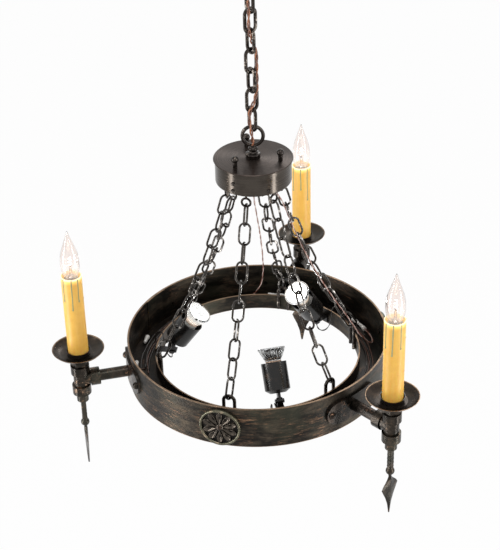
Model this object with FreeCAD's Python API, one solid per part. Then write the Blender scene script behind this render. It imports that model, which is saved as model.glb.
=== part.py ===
import FreeCAD, Part
import math
import os

# Chain-hung ring chandelier: a round hub, six small chains, a two-walled ring with a wire channel,
# three candle arms and three adjustable spotlights. Millimetres, Z up, Z = 0 is the ceiling face.

V = FreeCAD.Vector
X_AXIS = V(1, 0, 0)
Y_AXIS = V(0, 1, 0)
Z_AXIS = V(0, 0, 1)
ORIGIN = V(0, 0, 0)
FULL_TURN = 360.0
HALF_TURN = FULL_TURN / 2
QUARTER_TURN = FULL_TURN / 4
HEXAGON_SIDES = 6
OVERRUN = 5.0

# Fits
hang_gap = 0.3
seat_gap = 0.2
thread_gap = 0.15

# Ceiling canopy and its crossbar
canopy_r = 66.5
canopy_depth = 28.0
canopy_wall = 1.2
canopy_corner_share = 0.55
canopy_foot_share = 1.6
canopy_bulge_share = 1.2
canopy_bulge_lift_share = 0.35
canopy_inner_share = 0.7
crossbar_end_margin = 5.55
crossbar_width = 20.0
crossbar_t = 2.5
crossbar_slot_spacing = 88.9
crossbar_slot_length = 12.0
crossbar_slot_w = 5.0
crossbar_length = crossbar_slot_spacing + crossbar_slot_length + 2 * crossbar_end_margin

# Lamp pipe (1/8 inch) used as nipples
nipple_d = 10.0
nipple_bore = 6.4
nut_flats = 17.0
nut_h = 5.0

# Cast loops at the canopy and on the hub
loop_ring_d = 43.0
loop_wire = 6.5
loop_reach = 41.5
loop_stem_d = 15.0
loop_collar_d = 27.0
loop_collar_h = 9.0
loop_collar_bevel = 2.0
cord_bore = 7.4
cord_bore_slant = 24.0
cord_bore_start_share = 0.62

# Main chain
main_link_pitch = 36.2
main_link_width = 27.0
main_link_wire = 6.2
main_link_count = 7
main_link_even_azimuth = 32.0
main_link_odd_azimuth = -58.0
canopy_loop_turn = 212.0

# Hub
hub_cup_r = 68.0
hub_cup_h = 41.5
hub_wall = 1.5
hub_corner_r = 3.0
hub_lid_r = 70.9
hub_lid_t = 2.5
hub_lid_edge_r = 1.1
knob_d = 13.0
knob_h = 22.0
knob_neck_share = 0.62
knob_shank_d = 6.0
knob_radius = 50.0
knob_azimuths = (-129.5, -17.7, 103.0)
side_screw_d = 7.0
side_screw_h = 3.0
side_screw_shank_d = 3.0
side_screw_places_share = ((-122.0, 0.53), (-123.0, 0.193), (-68.0, 0.217))
feed_exit_azimuths = (-27.0, 95.0)
feed_exit_radius = 37.0
feed_hole_d = 7.0

# Eye bolts under the hub
eye_radius = 50.0
eye_ring_d = 20.0
eye_wire = 4.0
eye_drop = 20.5
eye_nut_flats = 8.0
eye_nut_h = 3.2

# Six suspension chains
chain_count = 6
chain_first_azimuth = 13.5
chain_names = ("right", "back", "back_left", "left", "front", "front_right")
link_pitch = 34.9
link_width = 23.5
link_wire = 3.9
link_count = 10
chain_bow = 14.35
chain_twist = 70.0

# Staples on the inner hoop
staple_wire = 6.5
staple_span = 20.3
staple_apex_below_rim = 16.3
staple_foot_below_rim = 66.0

# Ring
hoop_r = 245.0
hoop_wall = 3.0
hoop_h = 82.0
channel_w = 48.0
inner_hoop_wall = 2.5
inner_hoop_top_below_rim = 38.0
inner_hoop_h = 32.0
floor_t = 2.0
lap_from_azimuth = 131.0
lap_top_azimuth = 138.8
lap_to_azimuth = 152.0
lap_drop = 26.0
lap_t = 1.5

# Rosettes between the arms
rosette_d = 76.0
rosette_proud = 6.5
rosette_rim_w = 4.5
rosette_rim_base_share = 0.5
rosette_field_h = 3.0
rosette_petals = 10
rosette_petal_length = 19.0
rosette_petal_width = 9.0
rosette_petal_proud = 2.6
rosette_petal_sunk = 1.2
rosette_centre_below_rim = 42.0
rosette_hub_d = 15.0
rosette_boss_d = 12.0
rosette_boss_h = 8.5
rosette_boss_base_share = 0.8

# Arms
arm_azimuths = (73.5, 193.5, -46.5)
arm_below_rim = 41.0
plate_length = 124.0
plate_h = 46.0
plate_t = 5.0
plate_rivet_edge = 10.69
rivet_head_d = 14.0
rivet_head_h = 6.0
rivet_shank_d = 5.0
rivet_tail_d = 8.0
rivet_tail_h = 1.5
pipe_d = 21.3
pipe_bore = 15.8
pipe_inside = 8.0
arm_nut_d = 31.0
arm_nut_t = 4.0
arm_reach = 93.2
tee_half_h = 31.0
tee_body_d = 27.5
tee_band_d = 35.0
tee_band_h = 18.0
tee_branch_d = 33.6
tee_branch_from = 18.0
tee_branch_to = 35.0
tee_plug_h = 14.0

# Finial under each tee
lower_bushing_d = 22.0
lower_bushing_h = 20.0
lower_bushing_bevel = 2.5
finial_rod_w = 9.6
finial_rod_h = 41.0
finial_tenon_d = 9.0
finial_tenon_h = 14.0
finial_ball_r = 8.3
finial_neck_share = 0.9
finial_neck_w = 6.4
finial_neck_h = 6.0
spear_length = 83.0
spear_width = 44.0
spear_t = 6.4
spear_shares = (
    (0.0, 0.14, 0.95),
    (0.07, 0.36, 1.0),
    (0.19, 0.80, 0.95),
    (0.275, 1.0, 0.90),
    (0.36, 0.84, 0.86),
    (0.53, 0.52, 0.80),
    (0.74, 0.25, 0.66),
    (1.0, 0.08, 0.40),
)

# Candle on each tee
upper_bushing_flats = 28.0
upper_bushing_h = 10.0
pan_above_bushing = 14.0
pan_r = 48.0
pan_depth = 12.0
pan_floor_r = 27.0
pan_wall = 1.2
pan_bulge_share = 0.32
pan_inner_shift_share = (0.6, 0.8)
cup_d = 45.0
cup_h = 9.0
cup_wall = 1.2
sleeve_d = 37.8
sleeve_wall = 2.0
sleeve_length = 166.5
socket_shell_d = 26.0
socket_shell_h = 46.0
socket_stem_d = 14.0
socket_grip_h = 10.0
socket_below_sleeve_top = 5.0
candle_nipple_above_cup = 28.0
bulb_base_d = 12.0
bulb_base_h = 22.0
bulb_seat_below_sleeve_top = 27.0
bulb_d = 35.0
bulb_above_sleeve = 90.4
bulb_neck_d = 14.0
bulb_shares = ((0.86, 0.12), (1.0, 0.33), (0.82, 0.54), (0.34, 0.78), (0.18, 0.88), (0.08, 0.98))

# Spotlights inside the inner hoop
spot_names = ("front", "left", "right")
spot_azimuths = (-77.0, 170.6, 45.3)
spot_pivot_setback = 24.6
spot_pivot_below_rim = 42.5
spot_rest_tilt = 36.0
spot_housing_d = 46.6
spot_housing_wall = 1.5
spot_housing_from = 14.7
spot_housing_to = 70.6
spot_cap_d = 29.0
spot_cap_h = 6.0
spot_lamp_rim_at = 97.2
spot_lamp_d = 50.0
spot_lamp_rim_t = 3.0
spot_lamp_neck_d = 29.0
spot_lamp_flare_share = (0.62, 0.5)
spot_lamp_collar_t = 2.6
spot_lamp_tail_d = 22.0
spot_lamp_tail_from = 44.0
spot_socket_d = 34.0
spot_socket_from = 24.0
spot_socket_to = 56.0
spot_tongue_w = 13.0
spot_tongue_t = 5.0
fork_cheek_t = 2.5
fork_base_t = 3.0
fork_stem_d = 8.0
fork_nut_flats = 12.0
fork_nut_h = 4.0
tilt_screw_d = 4.0
tilt_screw_head_d = 8.0
tilt_screw_head_h = 3.0
spot_ledge_t = 2.5
spot_ledge_w = 16.0
spot_ledge_below_pivot = 10.5
spot_ledge_reach = 10.0
spot_tab_h = 14.0

# Wiring
wire_d = 2.6
channel_wire_radii_share = (0.30, 0.44, 0.58)
channel_wire_from = -40.0
channel_wire_to = 188.0
nut_cap_d = 9.0
nut_cap_tip_d = 5.5
nut_cap_length = 20.0
channel_nuts = ((84.0, 180.0), (78.5, 180.0), (24.5, 0.0), (35.0, 180.0), (158.0, 10.0), (180.0, 0.0))
channel_nut_radius_share = 0.78
hub_nut_x = -12.0
hub_nut_back_y = 4.5
hub_nut_front_y = -8.0
supply_cord_d = 5.0
feed_cord_d = 3.0
cord_bend_share = 0.45

# Heights from the ceiling down
loop_mean_r = (loop_ring_d - loop_wire) / 2
loop_pair = (loop_wire + main_link_wire) / 2 + hang_gap
main_pair = main_link_wire + hang_gap
canopy_ring_z = -canopy_depth - loop_reach
top_link_top_z = canopy_ring_z - loop_mean_r + loop_pair
last_link_bottom_z = top_link_top_z - main_link_count * main_link_pitch - main_pair
hub_ring_z = last_link_bottom_z + loop_pair - loop_mean_r
lid_top_z = hub_ring_z - loop_reach
cup_top_z = lid_top_z - hub_lid_t
cup_bottom_z = cup_top_z - hub_cup_h
eye_mean_r = (eye_ring_d - eye_wire) / 2
eye_z = cup_bottom_z - eye_drop
eye_wire_z = eye_z - eye_mean_r

# Radii on the ring
hoop_inner_r = hoop_r - hoop_wall
inner_hoop_r = hoop_inner_r - channel_w
inner_face_r = inner_hoop_r - inner_hoop_wall
tee_radius = hoop_r + arm_reach
spot_pivot_r = inner_face_r - spot_pivot_setback
plate_rivet_reach = plate_length / 2 - plate_rivet_edge
plate_rivet_azimuth = math.degrees(plate_rivet_reach / hoop_r)

# Course of a suspension chain, from the eye out and down to the staple
link_pair = link_wire + hang_gap
eye_pair = (eye_wire + link_wire) / 2 + hang_gap
staple_pair = (staple_wire + link_wire) / 2 + hang_gap
staple_x = math.sqrt((inner_face_r - staple_wire / 2 - seat_gap) ** 2 - (staple_span / 2) ** 2)
chain_leans = [chain_bow * (k / (link_count - 1) - 0.5) for k in range(link_count)]
eye_lead = eye_pair - link_pair / 2
staple_lead = staple_pair - link_pair / 2


def solve_chain_lean():
    """Mean lean of the chain that takes its end from the eye out to the staple."""
    first = math.radians(chain_leans[0])
    last = math.radians(chain_leans[-1])
    along = link_pitch * sum(math.cos(math.radians(lean)) for lean in chain_leans)
    along -= eye_lead * math.cos(first) + staple_lead * math.cos(last)
    across = -eye_lead * math.sin(first) - staple_lead * math.sin(last)
    span = staple_x - eye_radius
    return math.degrees(math.asin(span / math.hypot(along, across)) - math.atan2(across, along))


def up_chain(lean):
    """Direction up the chain, towards the hub, for a link that leans outwards by lean degrees."""
    return V(-math.sin(math.radians(lean)), 0, math.cos(math.radians(lean)))


mean_lean = solve_chain_lean()
link_leans = [mean_lean + lean for lean in chain_leans]
chain_joints = [V(eye_radius, 0, eye_wire_z) + up_chain(link_leans[0]) * eye_lead]
for lean in link_leans:
    chain_joints.append(chain_joints[-1] - up_chain(lean) * link_pitch)
staple_apex_z = (chain_joints[-1] + up_chain(link_leans[-1]) * staple_lead).z
rim_z = staple_apex_z + staple_apex_below_rim

# Heights on the ring and the arms
inner_top_z = rim_z - inner_hoop_top_below_rim
inner_bottom_z = inner_top_z - inner_hoop_h
arm_z = rim_z - arm_below_rim
tee_top_z = arm_z + tee_half_h
tee_bottom_z = arm_z - tee_half_h
bushing_top_z = tee_top_z + upper_bushing_h
pan_bottom_z = bushing_top_z + pan_above_bushing
cup_base_z = pan_bottom_z + pan_wall
sleeve_base_z = cup_base_z + cup_wall + seat_gap
sleeve_top_z = sleeve_base_z + sleeve_length
floor_top_z = inner_bottom_z + floor_t
rod_top_z = tee_bottom_z - lower_bushing_h
pivot_z = rim_z - spot_pivot_below_rim
ledge_top_z = pivot_z - spot_ledge_below_pivot


def moved(shape, x=0, y=0, z=0):
    """Copy of a shape, shifted."""
    copy = shape.copy()
    copy.translate(V(x, y, z))
    return copy


def turned(shape, axis, degrees, about=ORIGIN):
    """Copy of a shape, turned about an axis."""
    copy = shape.copy()
    copy.rotate(about, axis, degrees)
    return copy


def at_azimuth(shape, degrees):
    """Copy of a shape made on the +X side, turned round to an azimuth."""
    return turned(shape, Z_AXIS, degrees)


def rod(radius, z_low, z_high):
    """Round rod on the Z axis."""
    return Part.makeCylinder(radius, z_high - z_low, V(0, 0, z_low))


def sleeve(outer, inner, z_low, z_high):
    """Round tube on the Z axis, given its radii."""
    return rod(outer, z_low, z_high).cut(rod(inner, z_low - OVERRUN, z_high + OVERRUN))


def rod_between(radius, start, end):
    """Round rod from one point to another."""
    return Part.makeCylinder(radius, (end - start).Length, start, end - start)


def hexagon(flats, z_low, z_high):
    """Hexagonal prism on the Z axis, given its width across flats."""
    corner = flats / 2 / math.cos(math.pi / HEXAGON_SIDES)
    angles = [math.radians(FULL_TURN * k / HEXAGON_SIDES) for k in range(HEXAGON_SIDES + 1)]
    ring = Part.makePolygon([V(corner * math.cos(a), corner * math.sin(a), z_low) for a in angles])
    return Part.Face(ring).extrude(V(0, 0, z_high - z_low))


def outline(start, *steps):
    """Closed wire in the XZ plane. A step is a point, or a pair of points: through and end of an arc."""
    def at(point):
        return V(point[0], 0, point[1])
    edges = []
    here = at(start)
    for step in steps + (start,):
        is_arc = isinstance(step[0], tuple)
        there = at(step[1]) if is_arc else at(step)
        if is_arc:
            edges.append(Part.Arc(here, at(step[0]), there).toShape())
        elif (there - here).Length > 0:
            edges.append(Part.LineSegment(here, there).toShape())
        here = there
    return Part.Wire(edges)


def spun(start, *steps):
    """Solid of revolution about Z from an outline of radius and height."""
    return Part.Face(outline(start, *steps)).revolve(ORIGIN, Z_AXIS, FULL_TURN)


def placed(shape, origin, x_dir, z_dir):
    """Copy of a shape whose own X and Z axes are laid along the given directions."""
    z_unit = V(z_dir).normalize()
    y_unit = z_unit.cross(x_dir).normalize()
    x_unit = y_unit.cross(z_unit)
    matrix = FreeCAD.Matrix(
        x_unit.x, y_unit.x, z_unit.x, origin.x,
        x_unit.y, y_unit.y, z_unit.y, origin.y,
        x_unit.z, y_unit.z, z_unit.z, origin.z,
        0, 0, 0, 1)
    copy = shape.copy()
    copy.Placement = FreeCAD.Placement(matrix)
    return copy


def half_ring(mean_r, wire, upper):
    """Half of a round-wire ring in the XZ plane, above or below its centre."""
    circle = Part.Wire(Part.makeCircle(wire / 2, V(mean_r, 0, 0), Z_AXIS))
    half = Part.Face(circle).revolve(ORIGIN, Y_AXIS, -HALF_TURN)
    return half if upper else turned(half, Y_AXIS, HALF_TURN)


def chain_link(pitch, width, wire):
    """Oval link in the XZ plane, long axis Z, centred; its ends hang hang_gap from the next links."""
    mean_r = (width - wire) / 2
    leg_half = (pitch + wire + hang_gap) / 2 - mean_r
    link = moved(half_ring(mean_r, wire, True), z=leg_half)
    link = link.fuse(moved(half_ring(mean_r, wire, False), z=-leg_half))
    for side in (-1, 1):
        link = link.fuse(moved(rod(wire / 2, -leg_half, leg_half), x=side * mean_r))
    return link.removeSplitter()


def cord(name, points, diameter):
    """Cord as straight runs joined by tangent arcs, through a list of points."""
    pts = [V(*p) for p in points]
    edges = []
    radii = []
    here = pts[0]
    for before, corner, after in zip(pts, pts[1:], pts[2:]):
        u = (corner - before).normalize()
        w = (after - corner).normalize()
        half = u.getAngle(w) / 2
        tangent = cord_bend_share * min((corner - before).Length, (after - corner).Length)
        radius = tangent / math.tan(half)
        radii.append(radius)
        start = corner - u * tangent
        end = corner + w * tangent
        inward = (w - u).normalize()
        middle = corner + inward * (radius / math.cos(half) - radius)
        edges.append(Part.LineSegment(here, start).toShape())
        edges.append(Part.Arc(start, middle, end).toShape())
        here = end
    edges.append(Part.LineSegment(here, pts[-1]).toShape())
    path = Part.Wire(edges)
    ring = Part.Wire(Part.makeCircle(diameter / 2, pts[0], pts[1] - pts[0]))
    tube = path.makePipeShell([ring], True, False)
    section = math.pi * diameter ** 2 / 4
    print(name, "length", round(path.Length, 1), "least radius", round(min(radii), 1),
          "volume over section times length", round(tube.Volume / (section * path.Length), 4))
    return tube


def save(name, *shapes):
    """Write one node; several separate solids go in one compound."""
    solids = [solid for shape in shapes for solid in shape.Solids]
    whole = solids[0] if len(solids) == 1 else Part.makeCompound(solids)
    whole.exportStep(os.path.join("parts", name + ".step"))


# Ceiling canopy, crossbar and loops

def make_crossbar():
    """Steel bar against the ceiling box, with two slots and a centre hole for the nipple."""
    bar = Part.makeBox(crossbar_length, crossbar_width, crossbar_t,
                       V(-crossbar_length / 2, -crossbar_width / 2, -crossbar_t))
    bar = bar.cut(rod(nipple_d / 2 + thread_gap, -crossbar_t - OVERRUN, OVERRUN))
    slot_half = (crossbar_slot_length - crossbar_slot_w) / 2
    for side in (-1, 1):
        centre = side * crossbar_slot_spacing / 2
        slot = Part.makeBox(2 * slot_half, crossbar_slot_w, crossbar_t + 2 * OVERRUN,
                            V(centre - slot_half, -crossbar_slot_w / 2, -crossbar_t - OVERRUN))
        for end in (-1, 1):
            hole = rod(crossbar_slot_w / 2, -crossbar_t - OVERRUN, OVERRUN)
            slot = slot.fuse(moved(hole, x=centre + end * slot_half))
        bar = bar.cut(slot)
    return bar


def make_canopy():
    """Spun bowl that covers the ceiling box, with a flat foot for the loop."""
    corner = canopy_depth * canopy_corner_share
    foot_r = canopy_r - corner * canopy_foot_share
    mid_r = foot_r + corner * canopy_bulge_share
    mid_z = -canopy_depth + corner * canopy_bulge_lift_share
    wall = canopy_wall
    inset = wall * canopy_inner_share
    bowl = spun((0, -canopy_depth), (foot_r, -canopy_depth), ((mid_r, mid_z), (canopy_r, -canopy_depth + corner)),
                (canopy_r, 0), (canopy_r - wall, 0), (canopy_r - wall, -canopy_depth + corner),
                ((mid_r - inset, mid_z + inset), (foot_r, -canopy_depth + wall)),
                (0, -canopy_depth + wall))
    return bowl.cut(rod(nipple_d / 2 + seat_gap, -canopy_depth - OVERRUN, 0))


def make_loop():
    """Cast loop standing on Z = 0: collar, stem and ring, with a wireway that leaves at the front."""
    ring = Part.makeTorus(loop_mean_r, loop_wire / 2, V(0, 0, loop_reach), Y_AXIS)
    stem_top = loop_reach - loop_mean_r + loop_wire / 2 + seat_gap
    stem = rod(loop_stem_d / 2, 0, stem_top)
    collar = spun((0, 0), (loop_collar_d / 2, 0),
                  (loop_collar_d / 2, loop_collar_h - loop_collar_bevel),
                  (loop_collar_d / 2 - 2 * loop_collar_bevel, loop_collar_h), (0, loop_collar_h))
    body = collar.fuse(stem).fuse(ring).removeSplitter()
    turn_z = stem_top * cord_bore_start_share
    body = body.cut(rod(nipple_d / 2 + thread_gap, -OVERRUN, loop_collar_h))
    body = body.cut(rod(cord_bore / 2, 0, turn_z))
    slant = V(0, -math.sin(math.radians(cord_bore_slant)), math.cos(math.radians(cord_bore_slant)))
    body = body.cut(rod_between(cord_bore / 2, V(0, 0, turn_z), V(0, 0, turn_z) + slant * loop_reach))
    return body.cut(Part.makeSphere(cord_bore / 2, V(0, 0, turn_z)))


def make_nipple(z_low, z_high):
    """Threaded lamp pipe."""
    return sleeve(nipple_d / 2, nipple_bore / 2, z_low, z_high)


def make_locknut(z_low, flats, height, bore):
    """Hexagonal nut on the Z axis."""
    return hexagon(flats, z_low, z_low + height).cut(rod(bore, z_low - OVERRUN, z_low + height + OVERRUN))


def make_ceiling_group():
    save("ceiling_crossbar", make_crossbar())
    save("ceiling_canopy", make_canopy())
    save("canopy_nipple", make_nipple(-canopy_depth - loop_collar_h + seat_gap, 0))
    save("canopy_locknut", make_locknut(-crossbar_t - nut_h - seat_gap, nut_flats, nut_h,
                                        nipple_d / 2 + thread_gap))
    loop = turned(make_loop(), X_AXIS, HALF_TURN)
    save("canopy_loop", moved(at_azimuth(loop, canopy_loop_turn), z=-canopy_depth))


# Main chain and its cord

supply_cord_points = (
    (0.0, -4.2, -368.1),
    (0.0, -7.6, -360.5),
    (-1.4, -9.8, -347.5),
    (-3.4, -9.8, -334.0),
    (-5.6, -9.2, -319.0),
    (-4.4, -10.0, -303.0),
    (0.4, -8.8, -292.0),
    (4.8, -6.8, -281.0),
    (9.0, -3.0, -266.0),
    (9.8, -1.8, -248.0),
    (9.3, -2.6, -229.5),
    (9.6, -1.6, -211.0),
    (8.8, -2.6, -194.0),
    (2.2, -2.9, -175.0),
    (-2.0, -9.2, -156.0),
    (-2.6, -10.0, -139.0),
    (-2.0, -9.2, -121.0),
    (-2.6, -9.7, -104.0),
    (-2.6, -10.0, -89.5),
    (-1.2, -10.4, -78.0),
    (1.8, -9.2, -69.5),
    (4.0, -6.4, -61.6),
    (2.2, -3.6, -54.0),
)


def make_main_chain():
    """Links from the canopy down; even and odd links stand square to each other."""
    link = chain_link(main_link_pitch, main_link_width, main_link_wire)
    links = []
    for k in range(main_link_count):
        azimuth = main_link_even_azimuth if k % 2 else main_link_odd_azimuth
        centre_z = top_link_top_z - (main_link_pitch + main_pair) / 2 - k * main_link_pitch
        links.append(moved(at_azimuth(link, azimuth), z=centre_z))
    save("top_chain_link", links[0])
    save("main_chain_links", *links[1:])
    save("supply_cord", cord("supply cord", supply_cord_points, supply_cord_d))


# Hub

def hub_point(radius, azimuth, z=0.0):
    """Point at a radius and an azimuth about the hub's axis."""
    return V(radius * math.cos(math.radians(azimuth)), radius * math.sin(math.radians(azimuth)), z)


def make_hub_cup():
    """Open cup under the lid, with holes for the eyes, the screws and the two feed cords."""
    r = hub_cup_r
    bend = hub_corner_r * (1 - math.cos(math.radians(QUARTER_TURN / 2)))
    cup = spun((0, cup_bottom_z), (r - hub_corner_r, cup_bottom_z),
               ((r - bend, cup_bottom_z + bend), (r, cup_bottom_z + hub_corner_r)),
               (r, cup_top_z), (0, cup_top_z))
    cup = cup.cut(rod(r - hub_wall, cup_bottom_z + hub_wall, cup_top_z + OVERRUN))
    low = cup_bottom_z - OVERRUN
    high = cup_bottom_z + OVERRUN
    holes = []
    for k in range(chain_count):
        spot = hub_point(eye_radius, chain_first_azimuth + k * FULL_TURN / chain_count)
        holes.append(moved(rod(eye_wire / 2 + thread_gap, low, high), spot.x, spot.y))
    for azimuth in knob_azimuths:
        spot = hub_point(knob_radius, azimuth)
        holes.append(moved(rod(knob_shank_d / 2 + thread_gap, low, high), spot.x, spot.y))
    for azimuth in feed_exit_azimuths:
        spot = hub_point(feed_exit_radius, azimuth)
        holes.append(moved(rod(feed_hole_d / 2, low, high), spot.x, spot.y))
    for azimuth, height_share in side_screw_places_share:
        hole = rod_between(side_screw_shank_d / 2 + thread_gap, hub_point(r - OVERRUN, azimuth),
                           hub_point(r + OVERRUN, azimuth))
        holes.append(moved(hole, z=cup_bottom_z + hub_cup_h * height_share))
    return cup.cut(holes)


def make_hub_lid():
    """Flat disc with an eased edge that overhangs the cup."""
    r = hub_lid_r
    ease = hub_lid_edge_r
    lid = spun((0, cup_top_z), (r - ease, cup_top_z), (r, cup_top_z + ease), (r, lid_top_z - ease),
               (r - ease, lid_top_z), (0, lid_top_z))
    holes = [rod(nipple_d / 2 + seat_gap, cup_top_z - OVERRUN, lid_top_z + OVERRUN)]
    for azimuth in knob_azimuths:
        spot = hub_point(knob_radius, azimuth)
        hole = rod(knob_shank_d / 2 + seat_gap, cup_top_z - OVERRUN, lid_top_z + OVERRUN)
        holes.append(moved(hole, spot.x, spot.y))
    return lid.cut(holes)


def make_knob_screw():
    """Ball-topped knob standing on the lid, with a shank down to the cup's floor."""
    r = knob_d / 2
    neck = r * knob_neck_share
    ball_z = lid_top_z + knob_h - r
    shoulder = ball_z - math.sqrt(r ** 2 - neck ** 2)
    knob = spun((0, lid_top_z), (neck, lid_top_z), (neck, shoulder), ((r, ball_z), (0, ball_z + r)))
    return knob.fuse(rod(knob_shank_d / 2, cup_bottom_z, lid_top_z)).removeSplitter()


def make_side_screw(height):
    """Round-head screw in the cup's side wall, made at azimuth zero."""
    z = cup_bottom_z + height
    head = Part.makeSphere(side_screw_d / 2, V(hub_cup_r, 0, z))
    keep = rod_between(side_screw_d, V(hub_cup_r + hang_gap, 0, z), V(hub_cup_r + side_screw_h, 0, z))
    shank = rod_between(side_screw_shank_d / 2, V(hub_cup_r - hub_wall - side_screw_h, 0, z),
                        V(hub_cup_r + side_screw_h / 2, 0, z))
    return head.common(keep).fuse(shank).removeSplitter()


def make_eye_bolt():
    """Eye with a shank through the cup's floor, ring square to the radius."""
    ring = Part.makeTorus(eye_mean_r, eye_wire / 2, V(eye_radius, 0, eye_z), X_AXIS)
    shank_top = cup_bottom_z + hub_wall + eye_nut_h + 2 * seat_gap
    return ring.fuse(moved(rod(eye_wire / 2, eye_z + eye_mean_r, shank_top), x=eye_radius)).removeSplitter()


def round_azimuths(count, first):
    """Even azimuths round the axis."""
    return [first + k * FULL_TURN / count for k in range(count)]


def make_hub_nuts():
    """Nut under the lid for the loop, and one nut on each eye bolt inside the cup."""
    nuts = [make_locknut(cup_top_z - seat_gap - nut_h, nut_flats, nut_h, nipple_d / 2 + thread_gap)]
    eye_nut = make_locknut(cup_bottom_z + hub_wall + seat_gap, eye_nut_flats, eye_nut_h,
                           eye_wire / 2 + thread_gap)
    for azimuth in round_azimuths(chain_count, chain_first_azimuth):
        nuts.append(at_azimuth(moved(eye_nut, x=eye_radius), azimuth))
    return nuts


hub_tail_points = (
    (0.0, -4.0, -368.5),
    (0.0, -1.8, -373.5),
    (0.0, -0.4, -381.0),
    (0.1, 0.0, -391.0),
    (0.0, 0.2, -401.5),
    (-0.5, 1.0, -411.5),
    (-0.5, 3.2, -420.0),
    (-2.2, 5.2, -427.5),
    (-7.3, 6.0, -431.3),
    (-11.6, 6.0, -431.7),
)


def make_hub():
    loop = make_loop()
    save("hub_loop", moved(loop, z=lid_top_z))
    save("hub_nipple", make_nipple(cup_top_z - nut_h - 2 * seat_gap, lid_top_z + loop_collar_h - seat_gap))
    save("hub_nuts", *make_hub_nuts())
    save("hub_lid", make_hub_lid())
    save("hub_cup", make_hub_cup())
    knob = make_knob_screw()
    knobs = [moved(knob, hub_point(knob_radius, a).x, hub_point(knob_radius, a).y) for a in knob_azimuths]
    sides = [at_azimuth(make_side_screw(hub_cup_h * share), a) for a, share in side_screw_places_share]
    save("hub_screws", *knobs, *sides)
    eye = make_eye_bolt()
    save("hub_chain_eyes", *[at_azimuth(eye, a) for a in round_azimuths(chain_count, chain_first_azimuth)])
    save("hub_lead", cord("hub lead", hub_tail_points, supply_cord_d))


# Suspension chains

def make_suspension_chain():
    """One chain on the +X side. Its links turn a little more each step down to the staple."""
    link = chain_link(link_pitch, link_width, link_wire)
    links = []
    for k, lean in enumerate(link_leans):
        axis = up_chain(lean)
        roll = QUARTER_TURN * (k + 1) + chain_twist * (k / (link_count - 1)) ** 2
        sideways = FreeCAD.Rotation(axis, roll).multVec(Y_AXIS)
        centre = (chain_joints[k] + chain_joints[k + 1]) * 0.5
        links.append(placed(link, centre, sideways, axis))
    return links


def make_suspension_chains():
    links = make_suspension_chain()
    for name, azimuth in zip(chain_names, round_azimuths(chain_count, chain_first_azimuth)):
        save("chain_" + name, *[at_azimuth(link, azimuth) for link in links])


# Ring

def make_arm_hole(radius):
    """Cutters for the three arm pipes through the outer hoop."""
    hole = rod_between(radius, V(inner_hoop_r + OVERRUN, 0, arm_z), V(hoop_r + 2 * OVERRUN, 0, arm_z))
    return [at_azimuth(hole, azimuth) for azimuth in arm_azimuths]


def make_rivet_holes():
    """Cutters for the plate rivets and the rosette rivets."""
    hole = rod_between(rivet_shank_d / 2 + thread_gap, V(inner_hoop_r + OVERRUN, 0, 0),
                       V(hoop_r + 2 * OVERRUN, 0, 0))
    holes = []
    for azimuth in arm_azimuths:
        for side in (-1, 1):
            holes.append(moved(at_azimuth(hole, azimuth + side * plate_rivet_azimuth), z=arm_z))
        holes.append(moved(at_azimuth(hole, azimuth + HALF_TURN), z=rim_z - rosette_centre_below_rim))
    return holes


def make_lap():
    """Bar end lapped on the inside of the outer hoop, its top corner cut on a slant."""
    ring = sleeve(hoop_inner_r + seat_gap, hoop_inner_r - lap_t, floor_top_z + seat_gap, rim_z)
    low = rim_z - hoop_h - OVERRUN
    reach = 2 * hoop_r
    lap_azimuths = (lap_from_azimuth, (lap_from_azimuth + lap_to_azimuth) / 2, lap_to_azimuth)
    corners = [V(0, 0, low)] + [hub_point(reach, a, low) for a in lap_azimuths] + [V(0, 0, low)]
    sector = Part.Face(Part.makePolygon(corners)).extrude(V(0, 0, hoop_h + 2 * OVERRUN))
    lap = ring.common(sector)
    slant_from = hub_point(hoop_inner_r, lap_top_azimuth, rim_z)
    slant_to = hub_point(hoop_inner_r, lap_from_azimuth, rim_z - lap_drop)
    above = hub_point(hoop_inner_r, lap_from_azimuth, rim_z + OVERRUN)
    beside = hub_point(hoop_inner_r, lap_from_azimuth - lap_t, rim_z - lap_drop)
    over = hub_point(hoop_inner_r, lap_from_azimuth - lap_t, rim_z + OVERRUN)
    top = hub_point(hoop_inner_r, lap_top_azimuth, rim_z + OVERRUN)
    inward = hub_point(-OVERRUN * 2, lap_from_azimuth)
    mask = Part.Face(Part.makePolygon([slant_from, slant_to, above, top, slant_from]))
    mask_side = Part.Face(Part.makePolygon([slant_to, beside, over, above, slant_to]))
    for face in (mask, mask_side):
        block = face.extrude(inward).fuse(face.extrude(inward * -1))
        lap = lap.cut(block)
    return lap


def make_outer_hoop():
    hoop = sleeve(hoop_r, hoop_inner_r, rim_z - hoop_h, rim_z)
    hoop = hoop.fuse(make_lap()).removeSplitter()
    return hoop.cut(make_arm_hole(pipe_d / 2 + seat_gap) + make_rivet_holes())


def make_staple():
    """Round-bar staple on the +X side, its legs against the inner hoop's inside face."""
    bend_z = staple_apex_z - staple_span / 2
    arch = half_ring(staple_span / 2, staple_wire, True)
    staple = placed(arch, V(staple_x, 0, bend_z), Y_AXIS, Z_AXIS)
    for side in (-1, 1):
        leg = rod(staple_wire / 2, rim_z - staple_foot_below_rim, bend_z)
        staple = staple.fuse(moved(leg, staple_x, side * staple_span / 2))
    return staple.removeSplitter()


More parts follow.
